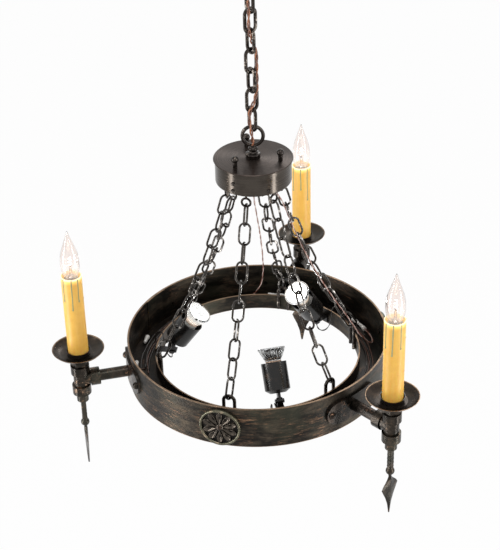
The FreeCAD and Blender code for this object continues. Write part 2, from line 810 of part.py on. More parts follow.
def make_petal():
    """One pointed petal, lying on the rosette's field and pointing along +X."""
    half_l = rosette_petal_length / 2
    half_w = rosette_petal_width / 2
    left = V(-half_l, 0, 0)
    right = V(half_l, 0, 0)
    edges = [Part.Arc(left, V(0, half_w, 0), right).toShape(), Part.Arc(right, V(0, -half_w, 0), left).toShape()]
    petal = Part.Face(Part.Wire(edges)).extrude(V(0, 0, rosette_petal_proud + rosette_field_h / 2))
    inner_end = rosette_hub_d / 2 - rosette_petal_sunk + half_l
    return moved(petal, x=inner_end, z=rosette_field_h / 2)


def make_rosette():
    """Round cast rosette, its back curved to the outer hoop."""
    r = rosette_d / 2
    rim_low = r - rosette_rim_w
    back = -rosette_proud
    rim_base = rosette_proud * rosette_rim_base_share
    disc = spun((0, back), (r, back), (r, rim_base),
                ((r - rosette_rim_w / 2, rosette_proud), (rim_low, rim_base)),
                (rim_low, rosette_field_h), (rosette_hub_d / 2, rosette_field_h),
                (rosette_hub_d / 2, rosette_proud * rosette_boss_base_share),
                (0, rosette_proud * rosette_boss_base_share))
    petals = [at_azimuth(make_petal(), a) for a in round_azimuths(rosette_petals, 0)]
    disc = disc.fuse(petals).removeSplitter()
    disc = disc.cut(rod(rivet_shank_d / 2 + thread_gap, back - OVERRUN, rosette_proud + OVERRUN))
    disc = placed(disc, V(hoop_r, 0, rim_z - rosette_centre_below_rim), Y_AXIS, X_AXIS)
    return disc.cut(rod(hoop_r, rim_z - hoop_h - OVERRUN, rim_z + OVERRUN))


def make_rivet(base_r, head_d, head_h, tail_r):
    """Domed rivet along +X: head outside base_r, peened tail inside tail_r."""
    dome_r = ((head_d / 2) ** 2 + head_h ** 2) / (2 * head_h)
    dome = spun((0, 0), (head_d / 2, 0),
                ((dome_r * math.sin(math.asin(head_d / 2 / dome_r) / 2),
                  head_h - dome_r + dome_r * math.cos(math.asin(head_d / 2 / dome_r) / 2)), (0, head_h)))
    rivet = dome.fuse(rod(rivet_shank_d / 2, tail_r - base_r - rivet_tail_h, 0))
    rivet = rivet.fuse(rod(rivet_tail_d / 2, tail_r - base_r - rivet_tail_h, tail_r - base_r))
    return placed(rivet.removeSplitter(), V(base_r, 0, 0), Y_AXIS, X_AXIS)


def tail_radius(azimuth):
    """Radius of the outer hoop's inside face at an azimuth, less the seat, with the lap counted."""
    on_lap = lap_from_azimuth < azimuth % FULL_TURN < lap_to_azimuth
    return hoop_inner_r - seat_gap - (lap_t if on_lap else 0)


def make_ring_rivets():
    """Two rivets through each arm plate and one through each rosette."""
    boss_base = rosette_proud * rosette_boss_base_share
    rivets = []
    for azimuth in arm_azimuths:
        for side in (-1, 1):
            place = azimuth + side * plate_rivet_azimuth
            rivet = make_rivet(hoop_r + plate_t + seat_gap, rivet_head_d, rivet_head_h, tail_radius(place))
            rivets.append(moved(at_azimuth(rivet, place), z=arm_z))
        place = azimuth + HALF_TURN
        boss = make_rivet(hoop_r + boss_base + seat_gap, rosette_boss_d, rosette_boss_h - boss_base,
                          tail_radius(place))
        rivets.append(moved(at_azimuth(boss, place), z=rim_z - rosette_centre_below_rim))
    return rivets


def make_ring():
    save("outer_hoop", make_outer_hoop())
    save("inner_hoop", sleeve(inner_hoop_r, inner_face_r, inner_bottom_z, inner_top_z))
    save("channel_floor", sleeve(hoop_inner_r, inner_hoop_r, inner_bottom_z, floor_top_z))
    staple = make_staple()
    save("chain_staples", *[at_azimuth(staple, a) for a in round_azimuths(chain_count, chain_first_azimuth)])
    rosette = make_rosette()
    save("rosettes", *[at_azimuth(rosette, azimuth + HALF_TURN) for azimuth in arm_azimuths])
    save("ring_rivets", *make_ring_rivets())


# Arms

def make_plate():
    """Curved plate with round ends on the outer hoop, on the +X side."""
    end_r = plate_h / 2
    reach = (plate_length - plate_h) / 2
    far = hoop_r + plate_t + OVERRUN
    slab = Part.makeBox(far, 2 * reach, plate_h, V(0, -reach, arm_z - end_r))
    for side in (-1, 1):
        slab = slab.fuse(rod_between(end_r, V(0, side * reach, arm_z), V(far, side * reach, arm_z)))
    shell = sleeve(hoop_r + plate_t, hoop_r, arm_z - plate_h, arm_z + plate_h)
    return shell.common(slab).cut(make_plate_holes())


def make_plate_holes():
    """Cutters for the pipe and the two rivets, for the plate on the +X side."""
    inside = V(inner_hoop_r, 0, arm_z)
    outside = V(hoop_r + plate_t + OVERRUN, 0, arm_z)
    rivet = rod_between(rivet_shank_d / 2 + thread_gap, inside, outside)
    return [rod_between(pipe_d / 2 + seat_gap, inside, outside),
            at_azimuth(rivet, plate_rivet_azimuth), at_azimuth(rivet, -plate_rivet_azimuth)]


def make_pipe():
    """Arm pipe from inside the channel to the tee."""
    start = V(hoop_inner_r - pipe_inside, 0, arm_z)
    end = V(tee_radius - tee_branch_from - seat_gap, 0, arm_z)
    return rod_between(pipe_d / 2, start, end).cut(rod_between(pipe_bore / 2, start - X_AXIS, end + X_AXIS))


def make_arm_nut():
    """Round locknut on the pipe, flat against the outer hoop inside the channel."""
    seat_x = math.sqrt(hoop_inner_r ** 2 - (arm_nut_d / 2) ** 2) - seat_gap
    start = V(seat_x - arm_nut_t, 0, arm_z)
    end = V(seat_x, 0, arm_z)
    ring = rod_between(arm_nut_d / 2, start, end)
    return ring.cut(rod_between(pipe_d / 2 + thread_gap, start - X_AXIS, end + X_AXIS))


def make_tee():
    """Pipe tee standing on end: banded run and a banded branch towards the ring."""
    band = tee_band_h
    tee = rod(tee_body_d / 2, -tee_half_h, tee_half_h)
    tee = tee.fuse(rod(tee_band_d / 2, tee_half_h - band, tee_half_h))
    tee = tee.fuse(rod(tee_band_d / 2, -tee_half_h, -tee_half_h + band))
    tee = tee.fuse(rod_between(tee_body_d / 2, ORIGIN, V(-tee_branch_to, 0, 0)))
    tee = tee.fuse(rod_between(tee_branch_d / 2, V(-tee_branch_from, 0, 0), V(-tee_branch_to, 0, 0)))
    bore = pipe_d / 2 + thread_gap
    tee = tee.removeSplitter().cut(rod(bore, -tee_half_h - OVERRUN, tee_half_h + OVERRUN))
    tee = tee.cut(rod_between(bore, V(-tee_branch_from, 0, 0), V(-tee_branch_to - OVERRUN, 0, 0)))
    tee = tee.cut(rod_between(pipe_bore / 2, ORIGIN, V(-tee_branch_from - seat_gap, 0, 0)))
    return moved(tee, x=tee_radius, z=arm_z)


def make_upper_bushing():
    """Hexagonal bushing screwed into the tee's top, bored for the candle nipple."""
    bushing = hexagon(upper_bushing_flats, tee_top_z + seat_gap, bushing_top_z)
    bushing = bushing.fuse(rod(pipe_d / 2, tee_top_z - tee_plug_h, tee_top_z + seat_gap))
    bore = rod(nipple_d / 2 + thread_gap, tee_top_z - tee_plug_h - OVERRUN, bushing_top_z + OVERRUN)
    return moved(bushing.cut(bore), x=tee_radius)


def make_lower_bushing():
    """Round bevelled bushing screwed into the tee's bottom, bored for the finial's tenon."""
    r = lower_bushing_d / 2
    bevel = lower_bushing_bevel
    top = tee_bottom_z - seat_gap
    body = spun((0, rod_top_z), (r - bevel, rod_top_z), (r, rod_top_z + bevel), (r, top - bevel),
                (r - bevel, top), (0, top))
    body = body.fuse(rod(pipe_d / 2, top, tee_bottom_z + tee_plug_h)).removeSplitter()
    body = body.cut(rod(finial_tenon_d / 2 + thread_gap, rod_top_z - OVERRUN, rod_top_z + finial_tenon_h))
    return moved(body, x=tee_radius)


def make_spear(top_z):
    """Flat spearhead with a mid rib, point down, wide across the arm."""
    sections = []
    for down_share, width_share, thick_share in spear_shares:
        z = top_z - down_share * spear_length
        w = spear_width / 2 * width_share
        t = spear_t / 2 * thick_share
        sections.append(Part.makePolygon([V(t, 0, z), V(0, w, z), V(-t, 0, z), V(0, -w, z), V(t, 0, z)]))
    return Part.makeLoft(sections, True, True)


def make_finial():
    """Square rod, ball, neck and spearhead in one forging."""
    w = finial_rod_w
    rod_bottom = rod_top_z - finial_rod_h
    ball_z = rod_bottom - finial_ball_r + seat_gap
    neck_top = ball_z - finial_ball_r * finial_neck_share
    neck_low = neck_top - finial_neck_h
    top = rod_top_z - seat_gap
    bar = Part.makeBox(w, w, top - ball_z, V(-w / 2, -w / 2, ball_z))
    finial = bar.fuse(rod(finial_tenon_d / 2, top, rod_top_z + finial_tenon_h - seat_gap))
    finial = finial.fuse(Part.makeSphere(finial_ball_r, V(0, 0, ball_z)))
    finial = finial.fuse(rod(finial_neck_w / 2, neck_low - seat_gap, ball_z))
    finial = finial.fuse(make_spear(neck_low))
    return moved(finial.removeSplitter(), x=tee_radius)


def make_pan():
    """Dished drip pan with a flat floor and a turned-up rim."""
    low = pan_bottom_z
    rim = low + pan_depth
    mid_r = (pan_floor_r + pan_r) / 2 + pan_wall
    mid_z = low + pan_depth * pan_bulge_share
    r_share, z_share = pan_inner_shift_share
    pan = spun((0, low), (pan_floor_r, low), ((mid_r, mid_z), (pan_r, rim)), (pan_r - pan_wall, rim),
               ((mid_r - pan_wall * r_share, mid_z + pan_wall * z_share), (pan_floor_r, low + pan_wall)),
               (0, low + pan_wall))
    return moved(pan.cut(rod(nipple_d / 2 + seat_gap, low - OVERRUN, rim)), x=tee_radius)


def make_candle_cup():
    """Shallow black cup that stands on the pan and holds the sleeve's foot."""
    low = cup_base_z
    r = cup_d / 2
    flare = r - sleeve_d / 2 - cup_wall
    cup = spun((0, low), (r - flare, low), (r, low + cup_h), (r - cup_wall, low + cup_h),
               (r - flare - cup_wall + seat_gap * 2, low + cup_wall), (0, low + cup_wall))
    return moved(cup.cut(rod(nipple_d / 2 + seat_gap, low - OVERRUN, low + cup_h)), x=tee_radius)


def make_candle_nipple():
    """Lamp pipe from inside the tee up to the socket."""
    top = cup_base_z + candle_nipple_above_cup
    return moved(make_nipple(tee_top_z - tee_plug_h - seat_gap, top), x=tee_radius)


def make_socket():
    """Candle socket: a stem screwed on the nipple and a shell for the bulb's base."""
    low = cup_base_z + candle_nipple_above_cup - socket_grip_h
    top = sleeve_top_z - socket_below_sleeve_top
    step = top - socket_shell_h
    socket = rod(socket_stem_d / 2, low, step).fuse(rod(socket_shell_d / 2, step, top))
    socket = socket.cut(rod(nipple_d / 2 + thread_gap, low - OVERRUN, low + socket_grip_h + seat_gap))
    socket = socket.cut(rod(nipple_bore / 2, low, step + nut_h))
    base_z = sleeve_top_z - bulb_seat_below_sleeve_top
    return moved(socket.cut(rod(bulb_base_d / 2 + seat_gap, base_z - seat_gap, top + OVERRUN)), x=tee_radius)


def make_bulb():
    """Flame-shaped bulb with its screw base in the socket."""
    base_z = sleeve_top_z - bulb_seat_below_sleeve_top
    neck_z = base_z + bulb_base_h
    tip_z = sleeve_top_z + bulb_above_sleeve
    glass_h = tip_z - neck_z
    r = bulb_d / 2
    neck = bulb_neck_d / 2
    places = [(r * r_share, neck_z + glass_h * h_share) for r_share, h_share in bulb_shares]
    arcs = list(zip(places[::2], places[1::2]))
    bulb = spun((0, base_z), (bulb_base_d / 2, base_z), (bulb_base_d / 2, neck_z), (neck, neck_z), *arcs,
                (0, tip_z))
    return moved(bulb, x=tee_radius)


def make_candle_sleeve():
    """Plain tube that stands in the cup round the socket."""
    return moved(sleeve(sleeve_d / 2, sleeve_d / 2 - sleeve_wall, sleeve_base_z, sleeve_top_z), x=tee_radius)


def make_arms():
    makers = {
        "arm_back_plates": make_plate,
        "arm_pipes": make_pipe,
        "arm_locknuts": make_arm_nut,
        "arm_tees": make_tee,
        "tee_top_bushings": make_upper_bushing,
        "tee_bottom_bushings": make_lower_bushing,
        "finials": make_finial,
        "drip_pans": make_pan,
        "candle_cups": make_candle_cup,
        "candle_nipples": make_candle_nipple,
        "candle_sockets": make_socket,
        "candle_sleeves": make_candle_sleeve,
        "candle_bulbs": make_bulb,
    }
    for name, maker in makers.items():
        piece = maker()
        save(name, *[at_azimuth(piece, azimuth) for azimuth in arm_azimuths])


# Spotlights

def tilted(shape):
    """Put a piece made upright about the pivot at its rest tilt, towards the ring's middle."""
    return moved(turned(shape, Y_AXIS, -spot_rest_tilt), x=spot_pivot_r, z=pivot_z)


def make_housing():
    """Round can open at the top, bevelled below, with the tongue of the knuckle."""
    r = spot_housing_d / 2
    low = spot_housing_from
    step = low + spot_cap_h
    can = spun((0, low), (spot_cap_d / 2, low), (r, step), (r, spot_housing_to),
               (r - spot_housing_wall, spot_housing_to), (r - spot_housing_wall, step + spot_housing_wall),
               (0, step + spot_housing_wall))
    tongue = Part.makeBox(spot_tongue_w, spot_tongue_t, low + seat_gap,
                          V(-spot_tongue_w / 2, -spot_tongue_t / 2, 0))
    eye = rod_between(spot_tongue_w / 2, V(0, -spot_tongue_t / 2, 0), V(0, spot_tongue_t / 2, 0))
    can = can.fuse(tongue).fuse(eye).removeSplitter()
    pin = rod_between(tilt_screw_d / 2 + seat_gap, V(0, -spot_tongue_w, 0), V(0, spot_tongue_w, 0))
    return tilted(can.cut(pin))


def make_spot_socket():
    """Ceramic socket in the bottom of the can."""
    low = spot_housing_from + spot_cap_h + spot_housing_wall
    puck = rod(spot_socket_d / 2, low + seat_gap, spot_socket_to)
    return tilted(puck.cut(rod(spot_lamp_tail_d / 2 + seat_gap, spot_lamp_tail_from - seat_gap,
                               spot_socket_to + OVERRUN)))


def make_spot_lamp():
    """Reflector lamp: tail in the socket, collar at the can's mouth, flared glass and rim."""
    tail = spot_lamp_tail_d / 2
    neck = spot_lamp_neck_d / 2
    rim = spot_lamp_d / 2
    mouth = spot_housing_to
    flare_low = mouth + spot_lamp_collar_t
    rim_low = spot_lamp_rim_at - spot_lamp_rim_t
    r_share, h_share = spot_lamp_flare_share
    lamp = spun((0, spot_lamp_tail_from), (tail, spot_lamp_tail_from), (tail, mouth - neck + tail),
                (neck, mouth), (neck, flare_low),
                ((neck + (rim - neck) * r_share, flare_low + (rim_low - flare_low) * h_share), (rim, rim_low)),
                (rim, spot_lamp_rim_at), (0, spot_lamp_rim_at))
    return tilted(lamp)


def make_fork():
    """Swivel fork: base, two cheeks and a stem through the ledge, with its screw and nut."""
    inside = spot_tongue_t / 2 + hang_gap
    outside = inside + fork_cheek_t
    base_z = -spot_ledge_below_pivot + hang_gap
    w = spot_tongue_w
    fork = Part.makeBox(w, 2 * outside, fork_base_t, V(-w / 2, -outside, base_z))
    for side in (-1, 1):
        low_y = inside if side > 0 else -outside
        cheek = Part.makeBox(w, fork_cheek_t, -base_z, V(-w / 2, low_y, base_z))
        cheek = cheek.fuse(rod_between(w / 2, V(0, low_y, 0), V(0, low_y + fork_cheek_t, 0)))
        fork = fork.fuse(cheek)
    stem_low = -spot_ledge_below_pivot - spot_ledge_t - fork_nut_h - 2 * seat_gap
    fork = fork.fuse(rod(fork_stem_d / 2, stem_low, base_z)).removeSplitter()
    pin_cut = rod_between(tilt_screw_d / 2 + thread_gap, V(0, -w, 0), V(0, w, 0))
    fork = fork.cut(pin_cut)
    ease = w / 2 + hang_gap
    fork = fork.cut(rod_between(ease, V(0, -inside, 0), V(0, inside, 0)))
    screw_end = outside + tilt_screw_head_h
    screw = rod_between(tilt_screw_d / 2, V(0, -screw_end, 0), V(0, outside + seat_gap, 0))
    screw = screw.fuse(rod_between(tilt_screw_head_d / 2, V(0, outside + seat_gap, 0),
                                   V(0, screw_end + seat_gap, 0)))
    screw_nut = rod_between(tilt_screw_head_d / 2, V(0, -screw_end, 0), V(0, -outside - seat_gap, 0))
    screw_nut = screw_nut.cut(rod_between(tilt_screw_d / 2 + thread_gap, V(0, -2 * screw_end, 0), ORIGIN))
    nut = make_locknut(stem_low, fork_nut_flats, fork_nut_h, fork_stem_d / 2 + thread_gap)
    return [moved(piece, x=spot_pivot_r, z=pivot_z) for piece in (fork, screw, screw_nut, nut)]


def make_spot_bracket():
    """Ledge under the knuckle, with a tab curved to the inner hoop's inside face."""
    low = ledge_top_z - spot_ledge_t
    inner_end = spot_pivot_r - spot_ledge_reach
    half_w = spot_ledge_w / 2
    face_r = inner_face_r - seat_gap
    tab_low = ledge_top_z - spot_tab_h
    ledge = Part.makeBox(face_r - inner_end, spot_ledge_w, spot_ledge_t, V(inner_end, -half_w, low))
    ledge = ledge.common(rod(face_r, low - OVERRUN, ledge_top_z + OVERRUN))
    tab = sleeve(face_r, face_r - spot_ledge_t, tab_low, ledge_top_z)
    window = Part.makeBox(face_r, spot_ledge_w, spot_tab_h, V(0, -half_w, tab_low))
    bracket = ledge.fuse(tab.common(window)).removeSplitter()
    hole = rod(fork_stem_d / 2 + seat_gap, low - OVERRUN, ledge_top_z + OVERRUN)
    return bracket.cut(moved(hole, x=spot_pivot_r))


def make_spots():
    housing = make_housing()
    socket = make_spot_socket()
    lamp = make_spot_lamp()
    fork_pieces = make_fork()
    bracket = make_spot_bracket()
    for name, azimuth in zip(spot_names, spot_azimuths):
        save("spot_" + name + "_swivel", *[at_azimuth(piece, azimuth) for piece in fork_pieces])
        save("spot_" + name + "_housing", at_azimuth(housing, azimuth))
        save("spot_" + name + "_socket", at_azimuth(socket, azimuth))
        save("spot_" + name + "_lamp", at_azimuth(lamp, azimuth))
    save("spot_brackets", *[at_azimuth(bracket, azimuth) for azimuth in spot_azimuths])


# Wiring

right_feed_points = (
    (-11.8, -8.0, -431.9),
    (-1.0, -8.4, -430.2),
    (10.0, -11.0, -428.8),
    (20.0, -14.0, -428.6),
    (29.0, -16.2, -430.6),
    (33.0, -16.8, -438.5),
    (33.8, -16.0, -450.0),
    (37.5, -8.5, -461.5),
    (43.6, 0.0, -472.0),
    (49.4, 5.8, -485.0),
    (54.6, 8.3, -500.0),
    (65.4, 10.8, -532.6),
    (77.2, 13.5, -565.4),
    (90.2, 16.1, -597.9),
    (104.1, 19.2, -629.8),
    (119.1, 22.3, -661.3),
    (135.1, 25.9, -692.1),
    (152.0, 29.8, -722.4),
    (169.6, 33.8, -752.1),
    (182.0, 31.0, -771.0),
    (191.5, 27.0, -787.0),
    (202.5, 28.5, -801.0),
    (212.5, 33.5, -815.0),
    (221.0, 44.0, -825.5),
    (223.8, 58.0, -827.6),
    (220.6, 72.5, -827.4),
    (216.1, 84.8, -827.0),
    (210.6, 96.0, -827.0),
)
back_feed_points = (
    (-11.8, 1.6, -431.9),
    (-5.0, 0.6, -432.8),
    (3.0, 1.0, -434.0),
    (9.6, 5.4, -434.6),
    (12.0, 13.6, -434.4),
    (9.0, 22.0, -432.6),
    (3.0, 29.6, -430.4),
    (-2.2, 35.4, -433.6),
    (-3.2, 37.0, -442.6),
    (-3.8, 40.0, -455.0),
    (-2.6, 47.0, -480.0),
    (-0.2, 59.0, -512.0),
    (3.0, 74.0, -546.0),
    (6.6, 91.0, -580.0),
    (10.0, 110.0, -617.0),
    (12.6, 129.0, -655.0),
    (14.2, 149.0, -693.0),
    (14.8, 169.0, -731.0),
    (12.0, 187.0, -767.0),
    (6.0, 200.0, -791.0),
    (-2.0, 210.0, -808.0),
    (-7.0, 219.4, -819.0),
    (-4.6, 227.6, -826.0),
    (4.4, 230.8, -827.6),
    (14.2, 231.0, -827.2),
    (24.2, 230.1, -827.0),
)
# These two routes are given outward from the ring's face
arm_lead_points = (
    (-29.0, -25.0, -826.4),
    (-30.5, -14.0, -820.5),
    (-27.0, -4.0, -810.5),
    (-17.0, 0.2, -805.2),
    (-3.0, 0.0, -804.4),
    (25.0, -0.6, -805.2),
    (52.0, 0.4, -805.0),
    (71.0, 0.0, -806.4),
    (83.5, 0.2, -805.6),
    (91.5, 0.0, -799.0),
    (93.4, 0.0, -788.0),
    (93.1, 0.0, -775.0),
    (93.3, 0.0, -755.0),
    (93.1, 0.0, -733.0),
    (93.3, 0.0, -708.0),
    (93.1, 0.0, -681.0),
    (93.3, 0.0, -654.0),
    (93.2, 0.0, -626.9),
)
spot_lead_points = (
    (-78.1, 0.0, -823.9),
    (-78.1, -0.6, -831.0),
    (-76.4, -4.2, -838.6),
    (-71.4, -10.0, -842.4),
    (-64.6, -15.6, -838.6),
    (-60.4, -19.2, -828.6),
    (-58.6, -20.6, -816.6),
    (-58.0, -21.0, -804.6),
    (-57.0, -21.2, -795.6),
    (-51.6, -21.4, -790.0),
    (-45.0, -21.6, -793.8),
    (-42.6, -22.0, -803.0),
    (-42.0, -23.0, -813.0),
    (-40.0, -25.4, -821.4),
    (-36.5, -30.0, -825.6),
)


def make_channel_wires():
    """Three wires that lie side by side on the channel's floor, round most of the ring."""
    wires = []
    z = floor_top_z + wire_d / 2 + seat_gap
    for share in channel_wire_radii_share:
        radius = inner_hoop_r + channel_w * share
        circle = Part.Wire(Part.makeCircle(wire_d / 2, V(radius, 0, z), Y_AXIS))
        wire = Part.Face(circle).revolve(ORIGIN, Z_AXIS, channel_wire_to - channel_wire_from)
        wires.append(at_azimuth(wire, channel_wire_from))
    return wires


def make_wire_nuts():
    """Tapered wire connectors lying on the channel's floor and in the hub."""
    cap = Part.makeCone(nut_cap_d / 2, nut_cap_tip_d / 2, nut_cap_length, ORIGIN, Y_AXIS)
    radius = inner_hoop_r + channel_w * channel_nut_radius_share
    z = floor_top_z + nut_cap_d / 2 + seat_gap
    nuts = []
    for azimuth, heading in channel_nuts:
        nuts.append(at_azimuth(moved(turned(cap, Z_AXIS, heading), x=radius, z=z), azimuth))
    hub_z = cup_bottom_z + hub_wall + nut_cap_d / 2 + seat_gap
    for y in (hub_nut_back_y, hub_nut_front_y):
        nuts.append(moved(turned(cap, Z_AXIS, QUARTER_TURN), hub_nut_x, y, hub_z))
    return nuts


def make_wiring():
    save("channel_wires", *make_channel_wires())
    save("wire_nuts", *make_wire_nuts())
    save("feed_cord_right", cord("right feed cord", right_feed_points, feed_cord_d))
    save("feed_cord_back", cord("back feed cord", back_feed_points, feed_cord_d))
    arm_lead = moved(cord("arm lead", arm_lead_points, feed_cord_d), x=hoop_r)
    save("arm_leads", *[at_azimuth(arm_lead, azimuth) for azimuth in arm_azimuths])
    spot_lead = moved(cord("spot lead", spot_lead_points, wire_d), x=hoop_r)
    save("spot_leads", *[at_azimuth(spot_lead, azimuth) for azimuth in spot_azimuths])


os.makedirs("parts", exist_ok=True)
make_ceiling_group()
make_main_chain()
make_hub()
make_suspension_chains()
make_ring()
make_arms()
make_spots()
make_wiring()
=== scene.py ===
import math

import bmesh
import bpy
from mathutils import Matrix, Vector


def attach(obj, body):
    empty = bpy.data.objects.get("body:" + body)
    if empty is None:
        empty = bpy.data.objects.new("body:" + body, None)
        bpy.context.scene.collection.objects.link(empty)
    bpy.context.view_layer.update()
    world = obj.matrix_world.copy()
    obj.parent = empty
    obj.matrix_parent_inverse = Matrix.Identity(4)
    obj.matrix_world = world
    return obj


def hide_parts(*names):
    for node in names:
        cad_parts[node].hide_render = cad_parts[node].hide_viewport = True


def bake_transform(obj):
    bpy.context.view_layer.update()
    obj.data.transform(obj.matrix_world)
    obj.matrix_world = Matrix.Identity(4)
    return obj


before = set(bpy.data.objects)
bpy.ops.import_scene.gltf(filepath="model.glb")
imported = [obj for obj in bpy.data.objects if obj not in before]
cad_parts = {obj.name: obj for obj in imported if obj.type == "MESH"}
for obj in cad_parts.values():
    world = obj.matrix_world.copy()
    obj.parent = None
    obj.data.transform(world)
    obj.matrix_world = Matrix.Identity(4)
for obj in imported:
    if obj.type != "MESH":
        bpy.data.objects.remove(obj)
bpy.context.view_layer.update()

# Chandelier looks. Everything is in metres in the CAD frame: Z up, Z = 0 is the ceiling face.

RIM_Z = -0.76374
HOOP_R = 0.245
ARMS = {"back": 73.5, "left": 193.5, "front_right": -46.5}
SPOT_AZIMUTHS = {"front": -77.0, "left": 170.6, "right": 45.3}
TEE_R = 0.3382
INNER_R = 0.194
CHANNEL_R = 0.218
CHANNEL_FLOOR_Z = -0.83174
SEAM_AZIMUTH = 193.5
LIT_SPOTS = ("left", "right")


# Camera

def make_camera():
    """The photo's own viewpoint."""
    camera = bpy.data.objects.new("camera", bpy.data.cameras.new("camera"))
    right = Vector((0.99972657, -0.00875816, -0.02168147))
    up = Vector((0.02305571, 0.52391479, 0.85145859))
    forward = Vector((-0.00390203, 0.85172566, -0.52397346))
    turn = Matrix((right, up, -forward)).transposed()
    camera.matrix_world = Matrix.Translation((0, -2.37025, 0.82069)) @ turn.to_4x4()
    camera.data.sensor_fit = "HORIZONTAL"
    camera.data.sensor_width = 36
    camera.data.lens = 108.8
    camera.data.clip_end = 40
    bpy.context.collection.objects.link(camera)
    bpy.context.scene.camera = camera


make_camera()


# Shader tools

class Nodes:
    """A node tree under construction."""

    def __init__(self, tree):
        self.tree = tree

    def put(self, socket, value):
        if isinstance(value, bpy.types.NodeSocket):
            self.tree.links.new(value, socket)
        else:
            socket.default_value = value

    def add(self, kind, values=None, **props):
        node = self.tree.nodes.new("ShaderNode" + kind)
        for key, value in props.items():
            setattr(node, key, value)
        for key, value in (values or {}).items():
            self.put(node.inputs[key], value)
        return node

    def math(self, operation, a, b=0.0):
        return self.add("Math", {0: a, 1: b}, operation=operation).outputs[0]

    def seen_rays(self):
        """1 for rays from the camera and for those that metal and glass pass on."""
        rays = self.add("LightPath").outputs
        seen = self.math("MAXIMUM", rays["Is Camera Ray"], rays["Is Glossy Ray"])
        return self.math("MAXIMUM", seen, rays["Is Transmission Ray"])


class Paint(Nodes):
    """A material under construction, with short calls for the nodes used here."""

    def __init__(self, name, **settings):
        self.material = bpy.data.materials.new(name)
        self.material.use_nodes = True
        super().__init__(self.material.node_tree)
        self.surface = self.tree.nodes["Principled BSDF"]
        self.output = self.tree.nodes["Material Output"]
        self.set(**settings)
        self.place = self.add("TexCoord").outputs["Object"]

    def noise(self, scale, detail=4.0, rough=0.6, vector=None, distortion=0.0):
        values = {"Vector": vector or self.place, "Scale": scale, "Detail": detail, "Roughness": rough,
                  "Distortion": distortion}
        return self.add("TexNoise", values).outputs["Fac"]

    def stretch(self, x, y, z, vector=None):
        return self.add("Mapping", {"Vector": vector or self.place, "Scale": (x, y, z)}).outputs[0]

    def step(self, value, low, high, to_low=0.0, to_high=1.0):
        """Smooth step of a value between two bounds."""
        values = {"Value": value, "From Min": low, "From Max": high, "To Min": to_low, "To Max": to_high}
        return self.add("MapRange", values, interpolation_type="SMOOTHSTEP").outputs["Result"]

    def mix(self, factor, a, b):
        node = self.add("Mix", data_type="RGBA")
        for index, value in ((0, factor), (6, a), (7, b)):
            if not isinstance(value, bpy.types.NodeSocket) and index:
                value = (*value, 1.0) if len(value) == 3 else value
            self.put(node.inputs[index], value)
        return node.outputs[2]

    def bump(self, height, distance, strength):
        return self.add("Bump", {"Height": height, "Distance": distance, "Strength": strength}).outputs[0]

    def split(self, vector=None):
        return self.add("SeparateXYZ", {0: vector or self.place}).outputs

    def round_place(self, radius, seam_azimuth):
        """Coordinates unrolled round the Z axis: arc length, height and radius."""
        turn = self.add("Mapping", {"Vector": self.place,
                                    "Rotation": (0, 0, math.radians(180 - seam_azimuth))}).outputs[0]
        x, y, z = self.split(turn)
        arc = self.math("MULTIPLY", self.math("ARCTAN2", y, x), radius)
        reach = self.math("SQRT", self.math("ADD", self.math("MULTIPLY", x, x), self.math("MULTIPLY", y, y)))
        return self.add("CombineXYZ", {0: arc, 1: z, 2: reach}).outputs[0]

    def set(self, **settings):
        for socket, value in settings.items():
            self.put(self.surface.inputs[socket.replace("_", " ")], value)


def worn_bronze(name, dark, brown, copper, copper_amount, streaks=None, seam=0.0, shine=0.42, hammer=0.0004,
                edges=None):
    """Oil-rubbed bronze: near-black, with brown cloudy patches and copper dry-brushed on top."""
    paint = Paint(name, Metallic=0.8)
    if streaks:
        base = paint.round_place(streaks, seam)
        cloud = paint.noise(1.0, 6.0, 0.72, paint.stretch(16.0, 52.0, 60.0, base), 0.5)
        lines = paint.noise(1.0, 6.0, 0.75, paint.stretch(40.0, 330.0, 100.0, base), 0.5)
    else:
        cloud = paint.noise(38.0, 5.0, 0.65)
        lines = paint.noise(120.0, 5.0, 0.7, distortion=0.6)
    patch = paint.noise(24.0, 5.0, 0.65)
    colour = paint.mix(paint.step(cloud, 0.42, 0.74), dark, brown)
    green = paint.step(paint.noise(9.0, 4.0, 0.6), 0.46, 0.66, 0.0, 0.45)
    colour = paint.mix(green, colour, tuple(c * s for c, s in zip(brown, (0.55, 0.75, 0.72))))
    brushed = paint.math("MULTIPLY", paint.step(lines, 0.5, 0.7), paint.step(patch, 0.47, 0.64))
    brushed = paint.math("MULTIPLY", brushed, copper_amount)
    colour = paint.mix(brushed, colour, copper)
    if edges:
        height = paint.split()[2]
        low, high, reach = edges
        top = paint.step(height, high - reach, high - reach * 0.15)
        foot = paint.step(height, low + reach, low + reach * 0.15)
        ragged = paint.step(lines, 0.3, 0.6, 0.25, 1.0)
        rim = paint.math("MULTIPLY", paint.math("MAXIMUM", top, foot), ragged)
        colour = paint.mix(rim, colour, EDGE_TAN)
    fine = paint.noise(900.0, 2.0, 0.5)
    dents = paint.noise(70.0, 3.0, 0.5)
    height = paint.math("ADD", paint.math("MULTIPLY", lines, 0.5), paint.math("MULTIPLY", fine, 0.12))
    height = paint.math("ADD", height, dents)
    paint.set(Base_Color=colour, Roughness=paint.step(cloud, 0.3, 0.75, shine - 0.08, shine + 0.16),
              Normal=paint.bump(height, hammer, 0.9))
    return paint.material


